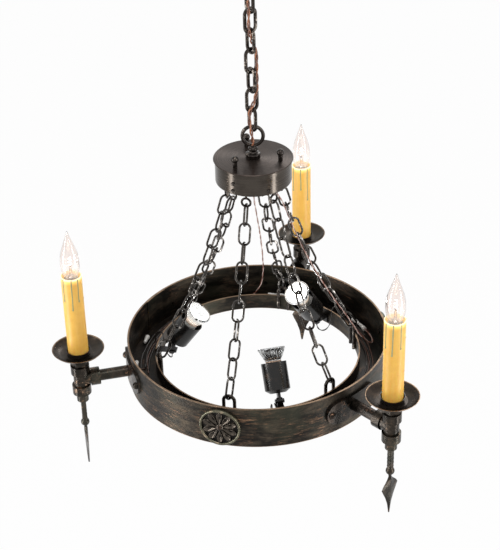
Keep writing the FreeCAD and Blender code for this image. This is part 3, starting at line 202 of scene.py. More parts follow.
def turned_metal(name, colour, tint, shine):
    """Satin metal brushed in circles round the hub's axis."""
    paint = Paint(name, Metallic=0.95, Anisotropic=0.8, Anisotropic_Rotation=0.25)
    place = paint.round_place(0.07, 90.0)
    rings = paint.noise(1.0, 3.0, 0.6, paint.stretch(6.0, 900.0, 1500.0, place))
    cloud = paint.noise(26.0, 4.0, 0.6)
    shade = paint.mix(paint.step(cloud, 0.35, 0.7), colour, tint)
    shade = paint.mix(paint.step(rings, 0.35, 0.75, 0.0, 0.45), shade, tuple(c * 1.9 for c in colour))
    tangent = paint.add("Tangent", direction_type="RADIAL", axis="Z").outputs[0]
    paint.set(Base_Color=shade, Roughness=paint.step(rings, 0.2, 0.8, shine - 0.06, shine + 0.08),
              Normal=paint.bump(rings, 0.00004, 0.6), Tangent=tangent)
    return paint.material


def lacquer(name, colour, worn_and_sheen, shine, amount=0.5, scale=160.0, metal=0.8, grain=0.0001):
    """Dark finish over metal, rubbed through in spots. On the chains the bright rubbed spots are partly wear and
    partly painted highlight.
    """
    paint = Paint(name, Metallic=metal)
    spots = paint.noise(scale, 5.0, 0.65)
    patch = paint.noise(scale * 0.22, 3.0, 0.5)
    # Rubbed-through mask: wear; on the chains its bright spots are also painted highlight.
    rubbed = paint.math("MULTIPLY", paint.step(spots, 0.48, 0.7), paint.step(patch, 0.4, 0.62))
    rubbed = paint.math("MULTIPLY", rubbed, amount)
    paint.set(Base_Color=paint.mix(rubbed, colour, worn_and_sheen),
              Roughness=paint.step(spots, 0.3, 0.7, shine, shine + 0.14), Normal=paint.bump(spots, grain, 0.7))
    return paint.material


def plain_plastic(name, colour, tint, shine):
    """Moulded plastic or rubber with a little mottling."""
    paint = Paint(name)
    cloud = paint.noise(220.0, 4.0, 0.6)
    fine = paint.noise(2600.0, 2.0, 0.5)
    paint.set(Base_Color=paint.mix(paint.step(cloud, 0.35, 0.7), colour, tint),
              Roughness=paint.step(cloud, 0.3, 0.7, shine, shine + 0.1), Normal=paint.bump(fine, 0.00005, 0.5))
    return paint.material


DARK = (0.012, 0.01, 0.008)
BROWN = (0.088, 0.068, 0.047)
COPPER = (0.34, 0.19, 0.11)
EDGE_TAN = (0.27, 0.18, 0.115)

ring_paint = worn_bronze("ring_bronze", DARK, BROWN, COPPER, streaks=HOOP_R, seam=SEAM_AZIMUTH,
                         copper_amount=0.75, edges=(RIM_Z - 0.082, RIM_Z, 0.0016))
inner_paint = worn_bronze("inner_hoop_bronze", DARK, BROWN, COPPER, streaks=INNER_R, seam=SEAM_AZIMUTH,
                          copper_amount=0.4, edges=(RIM_Z - 0.07, RIM_Z - 0.038, 0.0012))
floor_paint = worn_bronze("channel_bronze", (0.01, 0.008, 0.007), (0.045, 0.034, 0.026), COPPER,
                          streaks=CHANNEL_R, seam=SEAM_AZIMUTH, copper_amount=0.3)
arm_paint = worn_bronze("arm_bronze", DARK, (0.07, 0.05, 0.038), (0.34, 0.19, 0.115), copper_amount=0.9,
                        shine=0.28, hammer=0.00025)
iron_paint = worn_bronze("iron_fittings", (0.016, 0.013, 0.01), (0.085, 0.066, 0.05), (0.34, 0.21, 0.13),
                         copper_amount=0.8, shine=0.24, hammer=0.0007)
# Rosette field: its near-black colour is painted shade in the recesses between the petals.
rosette_field_painted_shade = lacquer("rosette_field_painted_shade", (0.005, 0.004, 0.003), (0.06, 0.04, 0.025), 0.4, 0.4, 200.0)
rosette_petal = lacquer("rosette_petal", (0.062, 0.052, 0.042), (0.3, 0.25, 0.2), 0.13, 0.5, 120.0, 0.95,
                        0.00003)
# Rosette rim: its lighter olive-tan colour is a painted highlight on the raised rim, with rubbed spots of wear.
rosette_rim_painted_highlight = lacquer("rosette_rim_painted_highlight", (0.1, 0.095, 0.066), (0.42, 0.32, 0.22), 0.24, 0.9, 110.0, 0.9)
# Both chains: the bright rubbed spots are partly wear and partly painted highlight on the links.
chain_paint = lacquer("chain_bronze", (0.022, 0.017, 0.014), (0.6, 0.52, 0.44), 0.16, 0.6)
small_chain_paint = lacquer("small_chain_bronze", (0.04, 0.035, 0.031), (0.8, 0.75, 0.7), 0.16, 0.85,
                            130.0, 0.95)
pan_paint = worn_bronze("pan_bronze", (0.03, 0.023, 0.018), (0.07, 0.052, 0.04), (0.2, 0.12, 0.075),
                        copper_amount=0.4, shine=0.32, hammer=0.0003,
                        edges=(RIM_Z - 0.2, RIM_Z + 0.026, 0.0014))
black_paint = lacquer("black_paint", (0.008, 0.007, 0.007), (0.1, 0.06, 0.04), 0.24, 0.35, 120.0, 0.2)
can_paint = lacquer("can_black", (0.01, 0.0095, 0.009), (0.16, 0.09, 0.05), 0.2, 0.3, 90.0, 0.35)
lid_paint = turned_metal("hub_lid_bronze", (0.06, 0.047, 0.04), (0.036, 0.028, 0.024), 0.3)
cup_paint = turned_metal("hub_cup_bronze", (0.06, 0.051, 0.043), (0.036, 0.03, 0.025), 0.24)
loop_paint = lacquer("loop_bronze", (0.026, 0.021, 0.018), (0.36, 0.3, 0.25), 0.18, 0.5, 120.0)
zinc_paint = lacquer("zinc_steel", (0.5, 0.5, 0.51), (0.7, 0.7, 0.7), 0.3, 0.5, 200.0, 0.95)
brass_paint = lacquer("lamp_brass", (0.62, 0.45, 0.2), (0.8, 0.62, 0.34), 0.28, 0.5, 160.0, 1.0)
ceramic_paint = plain_plastic("socket_ceramic", (0.8, 0.78, 0.74), (0.7, 0.68, 0.64), 0.2)
card_paint = plain_plastic("socket_plastic", (0.72, 0.69, 0.62), (0.62, 0.59, 0.52), 0.5)
nut_paint = plain_plastic("nut_white", (0.92, 0.9, 0.86), (0.8, 0.76, 0.7), 0.4)
cord_brown = plain_plastic("cord_brown", (0.17, 0.066, 0.038), (0.1, 0.04, 0.025), 0.24)
cord_orange = plain_plastic("cord_orange", (0.38, 0.15, 0.072), (0.22, 0.085, 0.042), 0.24)
lead_pink = plain_plastic("lead_pink", (0.66, 0.5, 0.45), (0.52, 0.38, 0.33), 0.32)
lead_red = plain_plastic("lead_red_brown", (0.26, 0.085, 0.05), (0.16, 0.055, 0.035), 0.32)
wire_black = plain_plastic("wire_black", (0.02, 0.016, 0.014), (0.035, 0.026, 0.02), 0.3)
wire_brown = plain_plastic("wire_brown", (0.11, 0.05, 0.033), (0.07, 0.033, 0.024), 0.32)

CAD_PAINT = {
    ring_paint: ("outer_hoop",),
    inner_paint: ("inner_hoop",),
    floor_paint: ("channel_floor",),
    arm_paint: ("arm_back_plates", "arm_pipes", "ring_rivets"),
    iron_paint: ("arm_tees", "tee_top_bushings", "tee_bottom_bushings"),
    rosette_rim_painted_highlight: ("rosettes",),
    chain_paint: ("top_chain_link", "main_chain_links", "chain_staples", "hub_chain_eyes"),
    small_chain_paint: ("chain_right", "chain_back", "chain_back_left", "chain_left", "chain_front",
                        "chain_front_right"),
    pan_paint: ("drip_pans",),
    black_paint: ("candle_cups", "spot_brackets", *["spot_%s_swivel" % spot for spot in SPOT_AZIMUTHS]),
    can_paint: ["spot_%s_housing" % spot for spot in SPOT_AZIMUTHS],
    lid_paint: ("hub_lid", "ceiling_canopy"),
    cup_paint: ("hub_cup",),
    loop_paint: ("hub_loop", "canopy_loop", "hub_screws"),
    zinc_paint: ("ceiling_crossbar", "canopy_locknut", "hub_nuts", "arm_locknuts"),
    brass_paint: ("canopy_nipple", "hub_nipple", "candle_nipples"),
    ceramic_paint: ["spot_%s_socket" % spot for spot in SPOT_AZIMUTHS],
    card_paint: ("candle_sockets",),
    nut_paint: ("wire_nuts",),
    wire_black: ("channel_wires", "arm_leads", "spot_leads"),
}
for material, names in CAD_PAINT.items():
    for name in names:
        for material_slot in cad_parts[name].material_slots:
            material_slot.material = material


# Mesh tools

def add_object(name, bm, material, body, nodes=()):
    """Make a piece of a built mesh, paint it, let it ride on its body and stand for its CAD nodes."""
    bmesh.ops.recalc_face_normals(bm, faces=bm.faces)
    data = bpy.data.meshes.new(name)
    bm.to_mesh(data)
    bm.free()
    piece = bpy.data.objects.new(name, data)
    bpy.context.collection.objects.link(piece)
    materials = material if isinstance(material, (list, tuple)) else [material]
    for item in materials:
        data.materials.append(item)
    if body:
        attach(piece, body)
    if nodes:
        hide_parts(*nodes)
    return piece


def polar(radius, azimuth, z=0.0):
    return Vector((radius * math.cos(math.radians(azimuth)), radius * math.sin(math.radians(azimuth)), z))


def route(points):
    """Points along the smooth NURBS line through a cord's list of points."""
    curve = bpy.data.curves.new("route", "CURVE")
    curve.dimensions = "3D"
    curve.resolution_u = 10
    spline = curve.splines.new("NURBS")
    spline.points.add(len(points) - 1)
    for target, point in zip(spline.points, points):
        target.co = (*point, 1.0)
    spline.order_u = 3
    spline.use_endpoint_u = True
    holder = bpy.data.objects.new("route", curve)
    line = bpy.data.meshes.new_from_object(holder)
    found = [vertex.co.copy() for vertex in line.vertices]
    bpy.data.objects.remove(holder)
    bpy.data.meshes.remove(line)
    bpy.data.curves.remove(curve)
    return found


def spaced(path, step):
    """The same line with points at even steps."""
    lengths = [0.0]
    for a, b in zip(path, path[1:]):
        lengths.append(lengths[-1] + (b - a).length)
    count = max(2, round(lengths[-1] / step))
    out = []
    k = 0
    for i in range(count + 1):
        want = lengths[-1] * i / count
        while k < len(path) - 2 and lengths[k + 1] < want:
            k += 1
        share = (want - lengths[k]) / max(lengths[k + 1] - lengths[k], 1e-9)
        out.append(path[k].lerp(path[k + 1], min(max(share, 0.0), 1.0)))
    return out


def frames(path):
    """Two directions square to the line at each of its points, without twist."""
    along = [(path[min(i + 1, len(path) - 1)] - path[max(i - 1, 0)]).normalized() for i in range(len(path))]
    side = along[0].orthogonal().normalized()
    out = []
    for i, direction in enumerate(along):
        if i:
            side = along[i - 1].rotation_difference(direction) @ side
            side = (side - direction * side.dot(direction)).normalized()
        out.append((side, direction.cross(side)))
    return out


def add_tube(bm, path, radius, sides=10, material=0):
    """Round tube along a line, closed at both ends."""
    rings = []
    for point, (u, v) in zip(path, frames(path)):
        ring = []
        for k in range(sides):
            angle = math.tau * k / sides
            ring.append(bm.verts.new(point + (u * math.cos(angle) + v * math.sin(angle)) * radius))
        rings.append(ring)
    for low, high in zip(rings, rings[1:]):
        for k in range(sides):
            face = bm.faces.new((low[k], low[(k + 1) % sides], high[(k + 1) % sides], high[k]))
            face.smooth = True
            face.material_index = material
    for ring, order in ((rings[0], -1), (rings[-1], 1)):
        face = bm.faces.new(ring[::order])
        face.material_index = material


def strand_lines(path, spread, lay, wander=0.0, loose=0.0):
    """Two strands that twist round a line: lay is the length of a turn, loose how far they part."""
    lines = [[], []]
    walked = 0.0
    for i, (point, (u, v)) in enumerate(zip(path, frames(path))):
        if i:
            walked += (point - path[i - 1]).length
        wide = spread * (1 + loose * (0.5 - 0.5 * math.cos(walked / lay * 1.7)))
        for k, line in enumerate(lines):
            angle = math.tau * (walked / lay + k / 2) + wander * math.sin(walked / lay * 2.3)
            line.append(point + (u * math.cos(angle) + v * math.sin(angle)) * wide)
    return lines


# Supply cord through the main chain: one twisted pair in three pieces, cut at the chain's hinges

SUPPLY_POINTS = (
    (0.0, -0.0042, -0.3681), (0.0, -0.0076, -0.3605), (-0.0014, -0.0098, -0.3475),
    (-0.0034, -0.0098, -0.334), (-0.0056, -0.0092, -0.319), (-0.0044, -0.01, -0.303),
    (0.0004, -0.0088, -0.292), (0.0048, -0.0068, -0.281), (0.009, -0.003, -0.266),
    (0.0098, -0.0018, -0.248), (0.0093, -0.0026, -0.2295), (0.0096, -0.0016, -0.211),
    (0.0088, -0.0026, -0.194), (0.0022, -0.0029, -0.175), (-0.002, -0.0092, -0.156),
    (-0.0026, -0.01, -0.139), (-0.002, -0.0092, -0.121), (-0.0026, -0.0097, -0.104),
    (-0.0026, -0.01, -0.0895), (-0.0012, -0.0104, -0.078), (0.0018, -0.0092, -0.0695),
    (0.004, -0.0064, -0.0616), (0.0022, -0.0036, -0.054),
)
TAIL_POINTS = (
    (0.0, -0.004, -0.3685), (0.0, -0.0018, -0.3735), (0.0, -0.0004, -0.381),
    (0.0001, 0.0, -0.391), (0.0, 0.0002, -0.4015), (-0.0005, 0.001, -0.4115),
    (-0.0005, 0.0032, -0.42), (-0.0022, 0.0052, -0.4275), (-0.0073, 0.006, -0.4313),
    (-0.0116, 0.006, -0.4317),
)
CORD_STEP = 0.0012
CORD_CUTS = (-0.2, -0.105)
STRAND_R = 0.0015
STRAND_LAY = 0.034
SUPPLY_D = 0.005


def twisted_pair(name, lines, radius, paints, body, nodes):
    bm = bmesh.new()
    for index, line in enumerate(lines):
        add_tube(bm, line, radius, 10, index)
    return add_object(name, bm, paints, body, nodes)


def make_supply_cord():
    path = spaced(route(SUPPLY_POINTS), CORD_STEP)
    lines = strand_lines(path, STRAND_R, STRAND_LAY, wander=0.5, loose=0.35)
    hinges = [min(range(len(path)), key=lambda i: abs(path[i].z - z)) for z in CORD_CUTS]
    cuts = (0, *hinges, len(path) - 1)
    pieces = (
        ("supply_cord_low", "main_chain", "chandelier", (0, 0, -0.322), (0, 0, -0.35)),
        ("supply_cord_middle", "top_link", "main_chain", (0, 0, -0.112), (0, 0, -0.138)),
        ("supply_cord_top", "ceiling_mount", "top_link", (0, 0, -0.076), (0, 0, -0.1)),
    )
    for (name, upper, lower, start, end), first, last in zip(pieces, cuts, cuts[1:]):
        strands = [line[first:last + 1] for line in lines]
        piece = twisted_pair(name, strands, STRAND_R, (cord_brown, cord_orange), None,
                             ("supply_cord",))
        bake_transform(piece)


def make_lead(name, points, diameter, paints, nodes, lay=0.03, step=0.0016, wander=1.1):
    """Pair of thin wires along a route."""
    path = spaced(route(points), step)
    lines = strand_lines(path, diameter / 4, lay, wander=wander)
    piece = twisted_pair(name, lines, diameter / 4, paints, "chandelier", nodes)


make_supply_cord()
make_lead("hub_lead", TAIL_POINTS, SUPPLY_D, (cord_brown, cord_orange), ("hub_lead",), lay=0.024,
          step=CORD_STEP, wander=0.0)


# Feed cords from the hub to the ring's channel

RIGHT_FEED_POINTS = (
    (-0.0118, -0.008, -0.4319), (-0.001, -0.0084, -0.4302), (0.01, -0.011, -0.4288),
    (0.02, -0.014, -0.4286), (0.029, -0.0162, -0.4306), (0.033, -0.0168, -0.4385),
    (0.0338, -0.016, -0.45), (0.0375, -0.0085, -0.4615), (0.0436, 0.0, -0.472),
    (0.0494, 0.0058, -0.485), (0.0546, 0.0083, -0.5), (0.0654, 0.0108, -0.5326),
    (0.0772, 0.0135, -0.5654), (0.0902, 0.0161, -0.5979), (0.1041, 0.0192, -0.6298),
    (0.1191, 0.0223, -0.6613), (0.1351, 0.0259, -0.6921), (0.152, 0.0298, -0.7224),
    (0.1696, 0.0338, -0.7521), (0.182, 0.031, -0.771), (0.1915, 0.027, -0.787),
    (0.2025, 0.0285, -0.801), (0.2125, 0.0335, -0.815), (0.221, 0.044, -0.8255),
    (0.2238, 0.058, -0.8276), (0.2206, 0.0725, -0.8274), (0.2161, 0.0848, -0.827),
    (0.2106, 0.096, -0.827),
)
BACK_FEED_POINTS = (
    (-0.0118, 0.0016, -0.4319), (-0.005, 0.0006, -0.4328), (0.003, 0.001, -0.434),
    (0.0096, 0.0054, -0.4346), (0.012, 0.0136, -0.4344), (0.009, 0.022, -0.4326),
    (0.003, 0.0296, -0.4304), (-0.0022, 0.0354, -0.4336), (-0.0032, 0.037, -0.4426),
    (-0.0038, 0.04, -0.455), (-0.0026, 0.047, -0.48), (-0.0002, 0.059, -0.512),
    (0.003, 0.074, -0.546), (0.0066, 0.091, -0.58), (0.01, 0.11, -0.617),
    (0.0126, 0.129, -0.655), (0.0142, 0.149, -0.693), (0.0148, 0.169, -0.731),
    (0.012, 0.187, -0.767), (0.006, 0.2, -0.791), (-0.002, 0.21, -0.808),
    (-0.007, 0.2194, -0.819), (-0.0046, 0.2276, -0.826), (0.0044, 0.2308, -0.8276),
    (0.0142, 0.231, -0.8272), (0.0242, 0.2301, -0.827),
)
ARM_LEAD_POINTS = (
    (-0.029, -0.025, -0.8264), (-0.0305, -0.014, -0.8205), (-0.027, -0.004, -0.8105),
    (-0.017, 0.0002, -0.8052), (-0.003, 0.0, -0.8044), (0.025, -0.0006, -0.8052),
    (0.052, 0.0004, -0.805), (0.071, 0.0, -0.8064), (0.0835, 0.0002, -0.8056),
    (0.0915, 0.0, -0.799), (0.0934, 0.0, -0.788), (0.0931, 0.0, -0.775),
    (0.0933, 0.0, -0.755), (0.0931, 0.0, -0.733), (0.0933, 0.0, -0.708),
    (0.0931, 0.0, -0.681), (0.0933, 0.0, -0.654), (0.0932, 0.0, -0.6269),
)
SPOT_LEAD_POINTS = (
    (-0.0781, 0.0, -0.8239), (-0.0781, -0.0006, -0.831), (-0.0764, -0.0042, -0.8386),
    (-0.0714, -0.01, -0.8424), (-0.0646, -0.0156, -0.8386), (-0.0604, -0.0192, -0.8286),
    (-0.0586, -0.0206, -0.8166), (-0.058, -0.021, -0.8046), (-0.057, -0.0212, -0.7956),
    (-0.0516, -0.0214, -0.79), (-0.045, -0.0216, -0.7938), (-0.0426, -0.022, -0.803),
    (-0.042, -0.023, -0.813), (-0.04, -0.0254, -0.8214), (-0.0365, -0.03, -0.8256),
)


def turned(points, azimuth):
    """A route given outward from the ring's face, turned to its azimuth."""
    turn = Matrix.Rotation(math.radians(azimuth), 3, "Z")
    return [turn @ (Vector(point) + Vector((HOOP_R, 0, 0))) for point in points]


LEAD_D = 0.003
SPOT_LEAD_D = 0.0026

make_lead("feed_cord_right", RIGHT_FEED_POINTS, LEAD_D, (lead_red, lead_pink),
          ("feed_cord_right",))
make_lead("feed_cord_back", BACK_FEED_POINTS, LEAD_D, (lead_pink, lead_red), ("feed_cord_back",),
          lay=0.045)
for arm, azimuth in ARMS.items():
    make_lead("arm_lead_" + arm, turned(ARM_LEAD_POINTS, azimuth), LEAD_D, (wire_black, wire_brown),
              ("arm_leads",))
for spot, azimuth in SPOT_AZIMUTHS.items():
    make_lead("spot_lead_" + spot, turned(SPOT_LEAD_POINTS, azimuth), SPOT_LEAD_D, (wire_black, wire_black),
              ("spot_leads",))


# Round pieces

def rounded(profile, reach):
    """Profile of radius and height with its inner corners eased."""
    points = [Vector(p) for p in profile]
    out = [points[0]]
    for before, corner, after in zip(points, points[1:], points[2:]):
        a = before - corner
        b = after - corner
        cut = min(reach, a.length * 0.45, b.length * 0.45)
        if cut < 1e-6 or a.angle(b, math.pi) > math.radians(176):
            out.append(corner)
            continue
        start = corner + a.normalized() * cut
        end = corner + b.normalized() * cut
        for k in range(4):
            t = k / 3
            out.append(start * (1 - t) ** 2 + corner * 2 * t * (1 - t) + end * t ** 2)
    out.append(points[-1])
    return out


def add_lathe(bm, profile, sides=72, material=0, place=None, shape=None):
    """Surface of revolution; an end at radius zero closes to a point. shape bends a radius by angle."""
    place = place or Matrix.Identity(4)
    rings = []
    for r, z in profile:
        if r < 1e-7:
            rings.append([bm.verts.new(place @ Vector((0, 0, z)))])
            continue
        ring = []
        for k in range(sides):
            angle = math.tau * k / sides
            reach = shape(r, z, angle) if shape else r
            ring.append(bm.verts.new(place @ Vector((reach * math.cos(angle), reach * math.sin(angle), z))))
        rings.append(ring)
    for low, high in zip(rings, rings[1:]):
        if len(low) == 1 and len(high) == 1:
            continue
        for k in range(sides):
            j = (k + 1) % sides
            if len(low) == 1:
                corners = (low[0], high[j], high[k])
            elif len(high) == 1:
                corners = (low[k], low[j], high[0])
            else:
                corners = (low[k], low[j], high[j], high[k])
            face = bm.faces.new(corners)
            face.smooth = True
            face.material_index = material


def tee_place(azimuth, z=0.0):
    return Matrix.Translation(polar(TEE_R, azimuth, z)) @ Matrix.Rotation(math.radians(azimuth), 4, "Z")


# Candles

SLEEVE_TOP = -0.58064
SLEEVE_FOOT = -0.74714
SLEEVE_R = 0.0189
DRIPS = {
    "left": ((-135.5, 0.044), (-86.7, 0.061), (-48.3, 0.045), (24, 0.052), (108, 0.036)),
    "front_right": ((-147.7, 0.049), (-105.1, 0.061), (-59.7, 0.048), (10, 0.038), (86, 0.055)),
    "back": ((-148, 0.05), (-96, 0.045), (-52.2, 0.07), (18, 0.04), (95, 0.052)),
}


def sleeve_material():
    paint = Paint("amber_resin", Roughness=0.42, Subsurface_Weight=0.25,
                  Subsurface_Radius=(0.006, 0.003, 0.001), Subsurface_Scale=1.0)
    height = paint.split()[2]
    cloud = paint.noise(60.0, 4.0, 0.6)
    streak = paint.noise(1.0, 4.0, 0.6, paint.stretch(260.0, 260.0, 18.0))
    colour = paint.mix(paint.step(cloud, 0.3, 0.7), (0.84, 0.5, 0.085), (0.77, 0.43, 0.065))
    colour = paint.mix(paint.step(streak, 0.4, 0.75, 0.0, 0.3), colour, (0.88, 0.58, 0.17))
    # Painted light: the top rim glows white-hot as if lit by the bulb, and the whole sleeve glows a little more
    # towards its top; the resin gives no light of its own.
    glow = paint.step(height, SLEEVE_TOP - 0.012, SLEEVE_TOP + 0.0005)
    painted_bulb_light = paint.step(height, SLEEVE_FOOT, SLEEVE_TOP, 0.02, 0.09)
    painted_glow_colour = paint.mix(paint.step(height, SLEEVE_TOP - 0.0045, SLEEVE_TOP - 0.0005), (1.0, 0.66, 0.24),
                          (1.0, 0.94, 0.8))
    paint.set(Base_Color=colour, Emission_Color=painted_glow_colour,
              Emission_Strength=paint.math("ADD", paint.math("MULTIPLY", glow, 0.9), painted_bulb_light),
              Normal=paint.bump(paint.math("ADD", cloud, streak), 0.0003, 0.5))
    return paint.material


amber_paint = sleeve_material()
drip_paint = plain_plastic("drip_resin", (0.36, 0.36, 0.17), (0.29, 0.3, 0.15), 0.35)


def add_drip(bm, azimuth, length, top, wall_r):
    """One thin run of wax down the sleeve with a bead at its end."""
    path = []
    count = 26
    for i in range(count + 1):
        t = i / count
        z = top - length * t
        sway = 1.4 * math.sin(3.1 * t + azimuth) + 0.5 * math.sin(9.0 * t + azimuth * 0.7)
        path.append((z, azimuth + sway, 0.00105 + 0.00025 * math.sin(7 * t) * (1 - t)))
    rings = []
    for z, around, half in path:
        ring = []
        for k in range(7):
            side = (k - 3) / 3
            lift = 0.00055 * math.sqrt(max(0.0, 1 - side * side)) - 0.00012
            turn = around + math.degrees(half * side / wall_r)
            ring.append(bm.verts.new(polar(wall_r + lift, turn, z)))
        rings.append(ring)
    for a, b in zip(rings, rings[1:]):
        for k in range(6):
            face = bm.faces.new((a[k], a[k + 1], b[k + 1], b[k]))
            face.smooth = True
            face.material_index = 1
    z, around, _ = path[-1]
    centre = polar(wall_r + 0.0001, around, z - 0.0006)
    made = bmesh.ops.create_uvsphere(bm, u_segments=14, v_segments=10, radius=1.0)
    squeeze = Matrix.Translation(centre) @ Matrix.Rotation(math.radians(around), 4, "Z") @ Matrix.Diagonal(
        (0.0011, 0.0015, 0.0023, 1.0))
    bmesh.ops.transform(bm, matrix=squeeze, verts=made["verts"])
    for vert in made["verts"]:
        for face in vert.link_faces:
            face.smooth = True
            face.material_index = 1


def make_candle_sleeves():
    wall = 0.002
    for arm, azimuth in ARMS.items():
        bm = bmesh.new()
        profile = [(SLEEVE_R - wall, SLEEVE_FOOT), (SLEEVE_R, SLEEVE_FOOT)]
        steps = 40
        for i in range(1, steps):
            profile.append((SLEEVE_R, SLEEVE_FOOT + (SLEEVE_TOP - SLEEVE_FOOT) * i / steps))
        profile += [(SLEEVE_R, SLEEVE_TOP), (SLEEVE_R - wall, SLEEVE_TOP), (SLEEVE_R - wall, SLEEVE_FOOT)]

        def uneven(r, z, angle):
            share = (z - SLEEVE_FOOT) / (SLEEVE_TOP - SLEEVE_FOOT)
            return r - 0.00012 * (1 + math.sin(3 * angle + azimuth + 5 * share)) * min(1.0, 6 * share)

        add_lathe(bm, [tuple(p) for p in rounded(profile, 0.0009)], 72, 0, None, uneven)
        # Inner wall faces get the inside glow: painted light that brightens the shade inside the sleeve.
        for face in bm.faces:
            if face.calc_center_median().xy.length < SLEEVE_R - wall * 0.7:
                face.material_index = 2
        for around, length in DRIPS[arm]:
            add_drip(bm, around, length, SLEEVE_TOP - 0.0006, SLEEVE_R)
        bmesh.ops.translate(bm, verts=bm.verts, vec=polar(TEE_R, azimuth))
        add_object("candle_sleeve_" + arm, bm, (amber_paint, drip_paint, painted_inside_glow),
                   "chandelier", ("candle_sleeves",))


GLASS_IOR = 1.46


def glass_material(name, tint=(1.0, 1.0, 1.0), rough=0.0, wave=0.0):
    paint = Paint(name, Base_Color=(*tint, 1.0), IOR=GLASS_IOR, Transmission_Weight=1.0)
    ripple = paint.noise(45.0, 2.0, 0.4)
    paint.set(Roughness=paint.step(ripple, 0.3, 0.7, rough, rough + 0.02),
              Normal=paint.bump(ripple, wave, 0.3))
    return paint.material


def glow_material(name, colour, strength, shade=(0.9, 0.9, 0.9)):
    paint = Paint(name, Base_Color=(*shade, 1.0), Roughness=0.4, Emission_Color=(*colour, 1.0))
    flicker = paint.noise(300.0, 2.0, 0.5)
    paint.set(Emission_Strength=paint.step(flicker, 0.2, 0.8, strength * 0.85, strength * 1.1))
    return paint.material


def bulb_glass_material():
    """Clear flame bulb whose lit lower half is veiled by its own glow."""
    paint = Paint("bulb_glass", Base_Color=(0.955, 0.905, 0.88, 1.0), IOR=GLASS_IOR,
                  Transmission_Weight=1.0, Emission_Color=(1.0, 0.93, 0.88, 1.0))
    height = paint.split()[2]
    low = paint.step(height, BULB_NECK + 0.05, BULB_NECK + 0.006)
    ripple = paint.noise(45.0, 2.0, 0.4)
    paint.set(Roughness=paint.math("MULTIPLY", low, 0.22), Normal=paint.bump(ripple, 0.0006, 0.3),
              Emission_Strength=paint.math("MULTIPLY", low, paint.step(ripple, 0.3, 0.7, 0.05, 0.11)))
    return paint.material


BULB_NECK = -0.58564
BULB_TIP = -0.49024
BULB_FOOT = -0.60764
bulb_glass = bulb_glass_material()
# Painted light on the sleeves' inner wall, lifting the shade between wall and socket; the sleeve is no lamp.
painted_inside_glow = glow_material("sleeve_inside_glow", (1.0, 0.76, 0.42), 0.45, (0.8, 0.58, 0.26))
filament_glow = glow_material("filament_glow", (1.0, 0.8, 0.66), 5.0)
core_glow = glow_material("lamp_core_glow", (1.0, 0.97, 0.92), 40.0)
stem_glass = glass_material("stem_glass", (0.97, 0.97, 0.98), 0.02)
BULB_PROFILE = ((0.007, 0.0), (0.0096, 0.0022), (0.0118, 0.005), (0.0137, 0.0084), (0.0152, 0.0122),
                (0.0165, 0.0175), (0.0172, 0.024), (0.0174, 0.0315), (0.0169, 0.041), (0.015, 0.0515),
                (0.0118, 0.0625), (0.0084, 0.0725), (0.0052, 0.0815), (0.0029, 0.0885), (0.0013, 0.0935))


def smooth_profile(points, per_span=4):
    """Catmull-Rom line through the points of a profile."""
    pts = [Vector(p) for p in points]
    pts = [pts[0] * 2 - pts[1]] + pts + [pts[-1] * 2 - pts[-2]]
    out = []
    for a, b, c, d in zip(pts, pts[1:], pts[2:], pts[3:]):
        for k in range(per_span):
            t = k / per_span
            out.append(0.5 * (2 * b + (c - a) * t + (2 * a - 5 * b + 4 * c - d) * t ** 2
                              + (3 * b - a - 3 * c + d) * t ** 3))
    out.append(pts[-2])
    return out


def make_bulbs():
    outer = [(p.x, BULB_NECK + p.y) for p in smooth_profile(BULB_PROFILE)]
    tip = (0.0, BULB_TIP)
    skin = 0.0007
    inner = [(max(r - skin, 0.0006), z) for r, z in outer]
    for arm, azimuth in ARMS.items():
        place = tee_place(azimuth)
        bm = bmesh.new()
        add_lathe(bm, [(0.0, BULB_TIP - 0.0016)] + inner[::-1] + outer + [tip], 48, 0, place)
        base = [(0.0, BULB_FOOT), (0.003, BULB_FOOT), (0.0058, -0.605)]
        for k in range(8):
            z = -0.6045 + k * 0.0022
            base += [(0.006, z), (0.0056, z + 0.0011)]
        base += [(0.006, BULB_NECK - 0.0002), (0.007, BULB_NECK)]
        add_lathe(bm, base, 40, 1, place)
        stem = [(0.0, BULB_NECK + 0.001), (0.0042, BULB_NECK + 0.001), (0.0026, BULB_NECK + 0.012),
                (0.0015, BULB_NECK + 0.024), (0.0, BULB_NECK + 0.026)]
        add_lathe(bm, rounded(stem, 0.001), 16, 2, place)
        coil = []
        for k in range(90):
            t = k / 89
            angle = t * math.pi * 5.0
            coil.append(place @ Vector((0.003 * math.cos(angle) * (1 - 0.35 * t), 0.003 * math.sin(angle),
                                        BULB_NECK + 0.026 + 0.017 * t)))
        add_tube(bm, coil, 0.00055, 8, 3)
        for side in (-1, 1):
            wire = [place @ Vector((side * 0.0012, 0, BULB_NECK + 0.022)),
                    place @ Vector((side * 0.0028, 0, BULB_NECK + 0.027)),
                    place @ Vector((side * 0.003, 0, BULB_NECK + 0.036))]
            add_tube(bm, wire, 0.0003, 6, 4)
        add_object("candle_bulb_" + arm, bm,
                   (bulb_glass, brass_paint, stem_glass, filament_glow, zinc_paint), "chandelier",
                   ("candle_bulbs",))


make_candle_sleeves()
make_bulbs()


# Spotlights: each lamp is built upright on its pivot and then tipped like the CAD one

PIVOT_R = 0.1669
PIVOT_Z = -0.80624
REST_TILT = 36.0

lamp_glass = glass_material("lamp_glass", (0.97, 0.98, 0.99), 0.03, 0.0004)
beige_paint = plain_plastic("lamp_collar_beige", (0.56, 0.4, 0.29), (0.45, 0.31, 0.22), 0.35)


